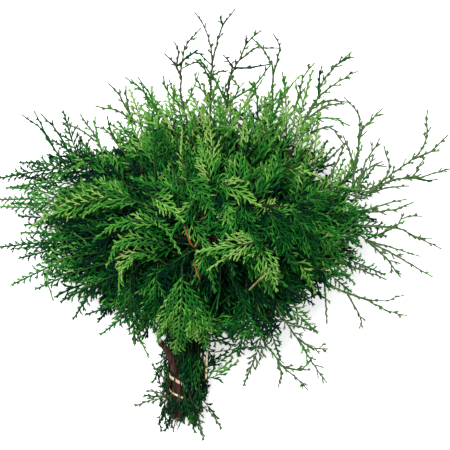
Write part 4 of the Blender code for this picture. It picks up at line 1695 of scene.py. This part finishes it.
    def _stem_leaves(self, count: int = 20) -> None:
        """Clothes the thin stems round the tie in small sprays of dark old leaves, whose SHADE tone
        also paints the shade there.
        """
        dice = self.greenery.dice
        for name, stem in self.stems.items():
            if name == "main_stem":
                continue
            line = along_route(stem.line, 90)
            for index in np.linspace(1, 40, count).astype(int):
                root, way = line[index], unit(line[index + 1] - line[index])
                if abs(root[1] - TIE_CENTRE[1]) < 0.006:
                    continue
                out = root - (root @ way - TIE_CENTRE @ way) * way - TIE_CENTRE
                out = unit(out * np.array((1.0, 0.2, 0.3)) + dice.normal(0.0, 0.012, 3))
                aim = unit(way * dice.uniform(0.6, 1.3) * dice.choice((1, 1, -1)) + out * 0.5)
                root = root + out * stem.radius * 0.7
                face = unit(out + UP * 0.5 + dice.normal(0.0, 0.3, 3))
                length = dice.uniform(0.020, 0.040)
                if aim[1] < 0.0:
                    length = min(length, 0.010 + root[1] - line[0][1])
                Spray(
                    route=swept(root, aim, face, length, 0.0, 0.3),
                    face=face,
                    tone=Tone.SHADE if dice.random() < 0.6 else Tone.DEEP,
                    spread=0.38,
                    stalk=0.0006,
                    habit=SMALL,
                ).grow(self.greenery)

    def _frond(
        self, tone: Tone, spread: float, lift: float, roll: float, pixels: Sequence[tuple]
    ) -> None:
        """Grows one spray where the picture shows it.

        Args:
            tone: Its colour.
            spread: Its longest side shoot, as a share of its length.
            lift: Millimetres above the crown's upper side.
            roll: Turn of its face about its axis, in radians.
            pixels: The picture's pixels that its axis runs through.
        """
        route = []
        for index, (x, y) in enumerate(pixels):
            height = CROWN.height(PHOTO.place(x, y, 0.08))
            part = index / (len(pixels) - 1)
            height += lift / 1000 - 0.022 * (1.0 - part) ** 2
            route.append(PHOTO.place(x, y, max(0.010, height)))
        line = np.array(route)
        line[1:, :2] += self.greenery.dice.normal(0.0, 0.0016, (len(line) - 1, 2))
        aim = unit(line[1] - line[0])
        self._twig(line[0], aim, 0.0009)
        face = turned(square_to(UP, aim), aim, roll)
        outer = spread < 0.33 and CROWN.part(line[-1]) > 0.85
        habit = FINGERS if outer else NEEDLES
        Spray(line, face, tone, spread, habit=habit).grow(self.greenery)

    def _foot_spray(
        self, tone: Tone, spread: float, root: float, tip: float, pixels: Sequence[tuple]
    ) -> None:
        """Grows one spray round the foot where the picture shows it.

        Args:
            tone: Its colour.
            spread: Its longest side shoot, as a share of its length.
            root: Its root's height in millimetres.
            tip: Its tip's height in millimetres.
            pixels: The picture's pixels that its axis runs through.
        """
        heights = np.linspace(root, tip, len(pixels)) / 1000
        places = [PHOTO.place(x, y, height) for (x, y), height in zip(pixels, heights)]
        line = np.array(places)
        self._twig(line[0], unit(line[1] - line[0]), 0.0006)
        face = UP + self.greenery.dice.normal(0.0, 0.2, 3)
        Spray(line, face, tone, spread, stalk=0.0006, habit=SMALL).grow(self.greenery)

    def _rim(self, count: int = 44) -> None:
        """Scatters small light sprays along the crown's upper and outer border."""
        dice = self.greenery.dice
        for index in range(count):
            bearing = math.radians(38.0 + 104.0 * (index + dice.random()) / count)
            out = np.array((math.cos(bearing), math.sin(bearing), 0.0))
            root = CROWN_CENTRE + out * dice.uniform(0.66, 0.96) * CROWN.reach(CROWN_CENTRE + out)
            root[2] = CROWN.height(root) - dice.uniform(0.004, 0.016)
            aim = unit(turned(out, UP, dice.normal(0.0, 0.42)) + UP * dice.uniform(-0.25, 0.30))
            length = dice.uniform(0.020, 0.040)
            face = UP + dice.normal(0.0, 0.5, 3)
            line = swept(root, aim, face, length, dice.normal(0.0, 0.5), dice.normal(0.2, 0.3))
            self._twig(root, aim, 0.0006)
            tone = (Tone.GREEN, Tone.FRESH, Tone.BRIGHT, Tone.LIME)[int(dice.choice(4, p=ODDS))]
            spread = dice.uniform(0.18, 0.34)
            Spray(line, face, tone, spread, stalk=0.0006, habit=FINGERS).grow(self.greenery)

    def _leader(self, tone: Tone, twig: float, height: float, pixels: Sequence[tuple]) -> None:
        """Grows one leading shoot where the picture shows it.

        Args:
            tone: Its colour.
            twig: Its longest side twig in millimetres.
            height: Its tip's height in millimetres.
            pixels: The picture's pixels that its axis runs through.
        """
        start = PHOTO.place(*pixels[0], 0.08)
        start[2] = CROWN.height(start) - 0.006
        for line in self.leaders:
            gaps = np.linalg.norm((line - start)[:, :2], axis=1)
            if gaps.min() < 0.009:
                start = line[int(gaps.argmin())]
        route = [start]
        steps = [math.dist(pixels[0], pixel) for pixel in pixels[1:]]
        for step, (x, y) in zip(steps, pixels[1:]):
            rise = (height / 1000 - start[2]) * (step / max(steps)) ** 1.2
            route.append(PHOTO.place(x, y, start[2] + rise))
        line = along_route(np.array(route), 24)
        self.leaders.append(line)
        face = UP + self.greenery.dice.normal(0, 0.4, 3)
        Leader(line, face, tone, twig=twig / 1000).grow(self.greenery)

    def _bare_twig(
        self, name: str, radius: float, lift: float, pixels: Sequence[tuple]
    ) -> bpy.types.Object:
        """Rolls one bare twig that shows between the sprays, from its bough to its end.

        Args:
            name: The piece's name.
            radius: Its radius in millimetres.
            lift: Millimetres above the crown's upper side.
            pixels: The picture's pixels that it runs through.

        Returns:
            The finished piece.
        """
        spots = [PHOTO.place(*pixel, 0.08) for pixel in pixels]
        for spot, pixel in zip(spots, pixels):
            spot[:] = PHOTO.place(*pixel, CROWN.height(spot) + lift / 1000)
        aim = unit(spots[1] - spots[0])
        route = np.vstack((self.skeleton.twig_to(spots[0], aim)[:-1], spots))
        line = along_route(route, 36)
        radii = radius / 1000 * np.linspace(1.1, 0.8, 36)
        return rolled(name, line, radii, radii, UP, 8)

    def _tuft(self, line: np.ndarray) -> None:
        """Grows a small hanging spray at the foot."""
        dice = self.greenery.dice
        Spray(
            route=along_route(line, 20)[:17],
            face=UP + dice.normal(0.0, 0.2, 3),
            tone=Tone.DEEP,
            spread=0.30,
            stalk=0.0006,
            habit=SMALL,
        ).grow(self.greenery)

    def build(self, names: Sequence[str]) -> None:
        """Joins the growth into pieces by kind and tone.

        Args:
            names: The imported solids' names.
        """
        green = [name for name in names if "_mass_" in name or name.startswith(("lead", "foot"))]
        long = Template.model(3, (0.28, 0.55, 0.84), (0.60, 0.95, 0.86, 1.0), 0.30)
        short = Template.model(3, (0.68,), (0.62, 1.0), 0.34)
        tube = Template.model(5, (), (1.0,), 0.86)
        slots = {
            Tone.SHADE: "foliage_under",
            Tone.DEEP: "foliage_under",
            Tone.GREEN: "foliage_middle",
            Tone.FRESH: "foliage_top",
            Tone.BRIGHT: "foliage_top",
            Tone.LIME: "foliage_tip",
            Tone.BRONZE: "foliage_tip",
            Tone.OLIVE: "foliage_tip",
        }
        kinds = []
        for tone, finish in TONES.items():
            material = finish.make()
            leaf = f"{tone.value}_branchlets"
            kinds.append((leaf, self.greenery.long[tone], long, material, slots[tone]))
            leaf = f"{tone.value}_forks"
            kinds.append((leaf, self.greenery.short[tone], short, material, slots[tone]))
        kinds.append(("boughs_and_twigs", self.greenery.twigs, tube, TWIG.make(), "bark"))
        kinds.append(("spray_stalks", self.greenery.stalks, tube, STALK.make(), "bark"))
        total = 0
        for name, batch, template, material, slot in kinds:
            if batch.count():
                total += self._join(name, batch, template, material, green)
        red, pale = RED_TWIG.make(), PALE_TWIG.make()
        for row in BARE_TWIGS:
            twig = self._bare_twig(*row[:3], row[3:])
            hand_over(twig, pale if row[0].startswith("pale") else red, green)
        log.info("foliage: %d triangles", total)

    def _join(
        self,
        name: str,
        batch: Batch,
        template: Template,
        material: bpy.types.Material,
        nodes: Sequence[str],
    ) -> int:
        """Makes as many pieces of one kind as keep each under its limit of triangles.

        Args:
            name: The kind's name.
            batch: Where its copies lie.
            template: The body that is repeated.
            material: Its finish.
            nodes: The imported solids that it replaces.

        Returns:
            The number of triangles made.
        """
        points, faces = batch.mesh(template)
        points = pressed(points)
        parts = -(-len(faces) // self.most_triangles)
        for number, chunk in enumerate(np.array_split(np.arange(batch.count()), parts), 1):
            step = len(template.points)
            some = points[chunk[0] * step : (chunk[-1] + 1) * step]
            rows = faces[chunk[0] * template.size : (chunk[-1] + 1) * template.size]
            label = name if parts == 1 else f"{name}_{number}"
            hand_over(piece_from(label, some, rows - chunk[0] * step), material, nodes)
        return len(faces)


@dataclass
class Tie:
    """The raffia tie: split strands wound twice round the bundle, the knot and its ends."""

    dice: np.random.Generator
    strands: tuple[float, ...] = (-0.0011, -0.0004, 0.0003, 0.0010)
    second_wrap: tuple[float, ...] = (-0.0148, -0.0138)
    strand_width: float = 0.0006
    strand_depth: float = 0.0003
    slip: float = -0.005  # the strip lies this far down the stems from its solid's middle
    knot_turn: tuple[float, float] = (0.0015, 0.0011)
    tail_pixels: tuple[tuple[float, float, float], ...] = (
        (194, 390, 0.0290), (198, 377, 0.0250), (204, 364, 0.0240), (207, 354, 0.0260),
        (208, 350, 0.0300), (207, 356, 0.0330), (206, 379, 0.0260),
    )  # fmt: skip

    def __post_init__(self) -> None:
        """Reads the strip's line, the knot's place and the loose end from the solids."""
        points = node_points("tie_band")
        middle = points.mean(axis=0)
        turn = np.arctan2(points[:, 2] - middle[2], points[:, 0] - middle[0])
        rows = points[np.argsort(turn)].reshape(-1, 4, 3).mean(axis=1)
        self.knot = node_points("tie_knot").mean(axis=0)
        self.knot[1] += self.slip
        rows[:, 1] += self.slip
        nearest = int(np.argmin(np.linalg.norm(rows - self.knot, axis=1)))
        rows = np.roll(rows, -nearest, axis=0)
        self.loop = np.vstack((rows, rows[:2]))
        self.middle = middle
        self.tail = np.array([PHOTO.place(*row) for row in self.tail_pixels])

    def _strand(self, name: str, route: np.ndarray, faces: np.ndarray, width: float = 1.0):
        """Makes one flat strand that narrows at its ends and wavers along its length."""
        count = len(route)
        share = np.linspace(0.0, 1.0, count)
        waver = 1.0 + 0.18 * np.sin(share * 37.0 + self.dice.uniform(0, 6))
        ends = np.clip(np.minimum(share, 1.0 - share) * 12.0 + 0.35, 0.35, 1.0)
        half = self.strand_width * width * waver * ends
        depth = np.full(count, self.strand_depth) * ends
        return rolled(name, route, half, depth, faces, 6)

    def _wrap(self) -> list[bpy.types.Object]:
        """Winds the strands round the bundle."""
        made = []
        for number, shift in enumerate((*self.strands, *self.second_wrap)):
            loop = along_route(self.loop, 130)
            out = loop - self.middle
            out[:, 1] = 0.0
            out = unit(out)
            wave = np.linspace(0.0, 19.0, len(loop)) + number * 1.7
            loop[:, 1] += shift + 0.00025 * np.sin(wave)
            lift = 0.0001 + 0.0002 * np.sin(wave * 1.3 + number)
            lift += 0.0042 * np.clip(out[:, 2] * 1.6 - 0.4, 0.0, 1.0)
            loop += out * lift[:, None]
            loop[:, 2] = np.maximum(loop[:, 2], 0.0005)
            made.append(self._strand(f"strand_{number}", loop, out))
        return made

    def _knot(self) -> list[bpy.types.Object]:
        """Winds two strands three times round the wrap where it is knotted."""
        along = unit(self.loop[1] - self.loop[-3])
        across = square_to(np.array((0.0, 1.0, 0.0)), along)
        above = np.cross(along, across)
        above = above if above[2] > 0 else -above
        centre = self.knot - above * 0.0016
        made = []
        for number in range(2):
            t = np.linspace(0.0, 1.0, 60)
            angle = t * 6 * np.pi + number * 2.1
            ring = across * (np.cos(angle) * self.knot_turn[0])[:, None]
            ring += above * (np.sin(angle) * self.knot_turn[1])[:, None]
            drift = along * ((t - 0.5) * 0.0034 + number * 0.0004)[:, None]
            made.append(self._strand(f"turn_{number}", centre + ring + drift, unit(ring), 1.1))
        return made

    def _frays(self) -> list[bpy.types.Object]:
        """Splays the short split ends out of the knot, towards the lower right."""
        made = []
        for number in range(9):
            heading = math.radians(-62.0 + 11.0 * number + self.dice.normal(0, 4))
            way = np.array((math.cos(heading), math.sin(heading), 0.05))
            length = self.dice.uniform(0.004, 0.008)
            line = swept(self.knot - UP * 0.0012, way, UP, length, self.dice.normal(0, 0.5), 0.5)
            made.append(self._strand(f"fray_{number}", along_route(line, 14), UP, 0.62))
        return made

    def _tail(self) -> list[bpy.types.Object]:
        """Runs the loose end up from the knot to its square cut."""
        made = []
        for number, shift in enumerate((-0.0005, 0.0004)):
            line = along_route(self.tail, 60)
            share = np.linspace(0.0, 1.0, len(line))[:, None]
            line += np.array((shift, 0.0, 0.0001 * number)) * (0.3 + 0.7 * share)
            made.append(self._strand(f"end_{number}", line, UP, 1.0))
        return made

    def build(self) -> None:
        """Builds and dresses the tie."""
        material = RaffiaFinish().make()
        pieces = (
            ("raffia_wrap", self._wrap(), "tie_band"),
            ("raffia_knot", self._knot() + self._frays(), "tie_knot"),
            ("raffia_tail", self._tail(), "tie_tail"),
        )
        for name, parts, node in pieces:
            hand_over(joined(name, parts), material, (node,))


@dataclass
class Stub:
    """The short pruned stub that leaves the main stem on the left, with its pale knob."""

    pixels: tuple[tuple[float, float, float], ...] = (
        (179, 380, 0.020), (173, 364, 0.026), (167, 351, 0.031), (160, 342, 0.034),
    )  # fmt: skip
    radius: float = 0.0031

    def build(self, bark: bpy.types.Material, wood: bpy.types.Material) -> None:
        """Builds the stub and its cut knob.

        Args:
            bark: The stem's finish.
            wood: The cut wood's finish.
        """
        route = along_route(np.array([PHOTO.place(*row) for row in self.pixels]), 40)
        radii = self.radius * np.linspace(1.15, 0.88, 40)

        def swell(angle: float, station: int) -> float:
            """How far the bark stands out, as a share of the radius."""
            place = Vector((math.cos(angle) * 2.0, math.sin(angle) * 2.0, station * 0.22))
            return 0.20 * noise.noise(place) + (0.22 if station > 35 else 0.0)

        stub = rolled("pruned_stub", route, radii, radii, UP, 14, swell)
        hand_over(stub, bark, ("main_stem",))
        way = unit(route[-1] - route[-2])
        selected_none()
        bpy.ops.mesh.primitive_uv_sphere_add(
            segments=20,
            ring_count=12,
            radius=self.radius * 0.85,
            location=route[-1] + way * 0.0002,
            rotation=Vector(way).to_track_quat("Z", "Y").to_euler(),
            scale=(1.0, 1.0, 0.45),
        )
        bpy.ops.object.transform_apply(location=True, rotation=True, scale=True)
        bpy.ops.object.shade_smooth()
        knob = bpy.context.object
        knob.name = knob.data.name = "stub_knob"
        hand_over(knob, wood, ("main_stem",))


@dataclass
class Studio:
    """White floor, soft light from above and the camera that looks straight down."""

    floor_size: float = 60.0

    def build(self) -> None:
        """Sets up the floor, the lights, the world and the camera."""
        selected_none()
        bpy.ops.mesh.primitive_plane_add(size=self.floor_size, location=(0.0, 0.0, -0.0008))
        floor = bpy.context.object
        floor.name = "studio_floor"
        floor.data.materials.append(FloorFinish().make())
        self._sun("key_light", (-0.36, 0.42, 1.0), 3.8, 30.0)
        self._sun("fill_light", (0.5, -0.3, 1.0), 0.5, 90.0)
        self._surroundings()
        bpy.context.scene.view_settings.view_transform = "Standard"
        self._camera()

    @staticmethod
    def _sun(name: str, place: tuple, power: float, softness: float) -> None:
        """Adds one broad soft light, as even over the whole floor as a wall of lamps.

        Args:
            name: The light's name.
            place: Direction that it comes from.
            power: Its strength.
            softness: Angle that it fills, in degrees.
        """
        lamp = bpy.data.lights.new(name, "SUN")
        lamp.energy = power
        lamp.angle = math.radians(softness)
        holder = bpy.data.objects.new(name, lamp)
        holder.rotation_euler = (-Vector(place)).to_track_quat("-Z", "Y").to_euler()
        bpy.context.scene.collection.objects.link(holder)

    @staticmethod
    def _surroundings() -> None:
        """Surrounds the scene with dim soft light that looks white."""
        world = bpy.data.worlds.new("studio_world")
        world.use_nodes = True
        tree = world.node_tree
        background = tree.nodes["Background"]
        background.inputs["Color"].default_value = (0.97, 0.98, 1.0, 1.0)
        rays = tree.nodes.new("ShaderNodeLightPath")
        level = tree.nodes.new("ShaderNodeMapRange")
        level.inputs["To Min"].default_value = 0.34
        level.inputs["To Max"].default_value = 1.05
        tree.links.new(rays.outputs["Is Camera Ray"], level.inputs["Value"])
        tree.links.new(level.outputs["Result"], background.inputs["Strength"])
        bpy.context.scene.world = world

    @staticmethod
    def _camera() -> None:
        """Adds the camera, straight above the bunch."""
        lens = bpy.data.cameras.new("camera")
        lens.lens = PHOTO.lens
        lens.sensor_width = PHOTO.sensor
        lens.clip_start = 0.05
        holder = bpy.data.objects.new("camera", lens)
        holder.location = (*PHOTO.centre, PHOTO.distance + PHOTO.middle_height)
        bpy.context.scene.collection.objects.link(holder)
        bpy.context.scene.camera = holder


def main() -> None:
    """Builds the bunch, piece by piece, and hands it over."""
    logging.basicConfig(level=logging.INFO, format="%(message)s")
    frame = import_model()
    names = sorted(frame["nodes"])
    Studio().build()
    stems = {name: Stem(name) for name in names if "stem" in name}
    bark = BARK.make()
    greenery = Greenery(np.random.default_rng(SEED))
    foliage = Foliage(greenery, stems)
    foliage.grow(names)
    foliage.build(names)
    wood = CUT_WOOD.make()
    for stem in stems.values():
        hand_over(stem.build(), bark, (stem.node,))
    ends = joined("cut_ends", [stem.cut_end() for stem in stems.values()])
    hand_over(ends, wood, tuple(stems))
    Stub().build(bark, wood)
    Tie(np.random.default_rng(SEED + 1)).build()


if __name__ == "__main__":
    main()
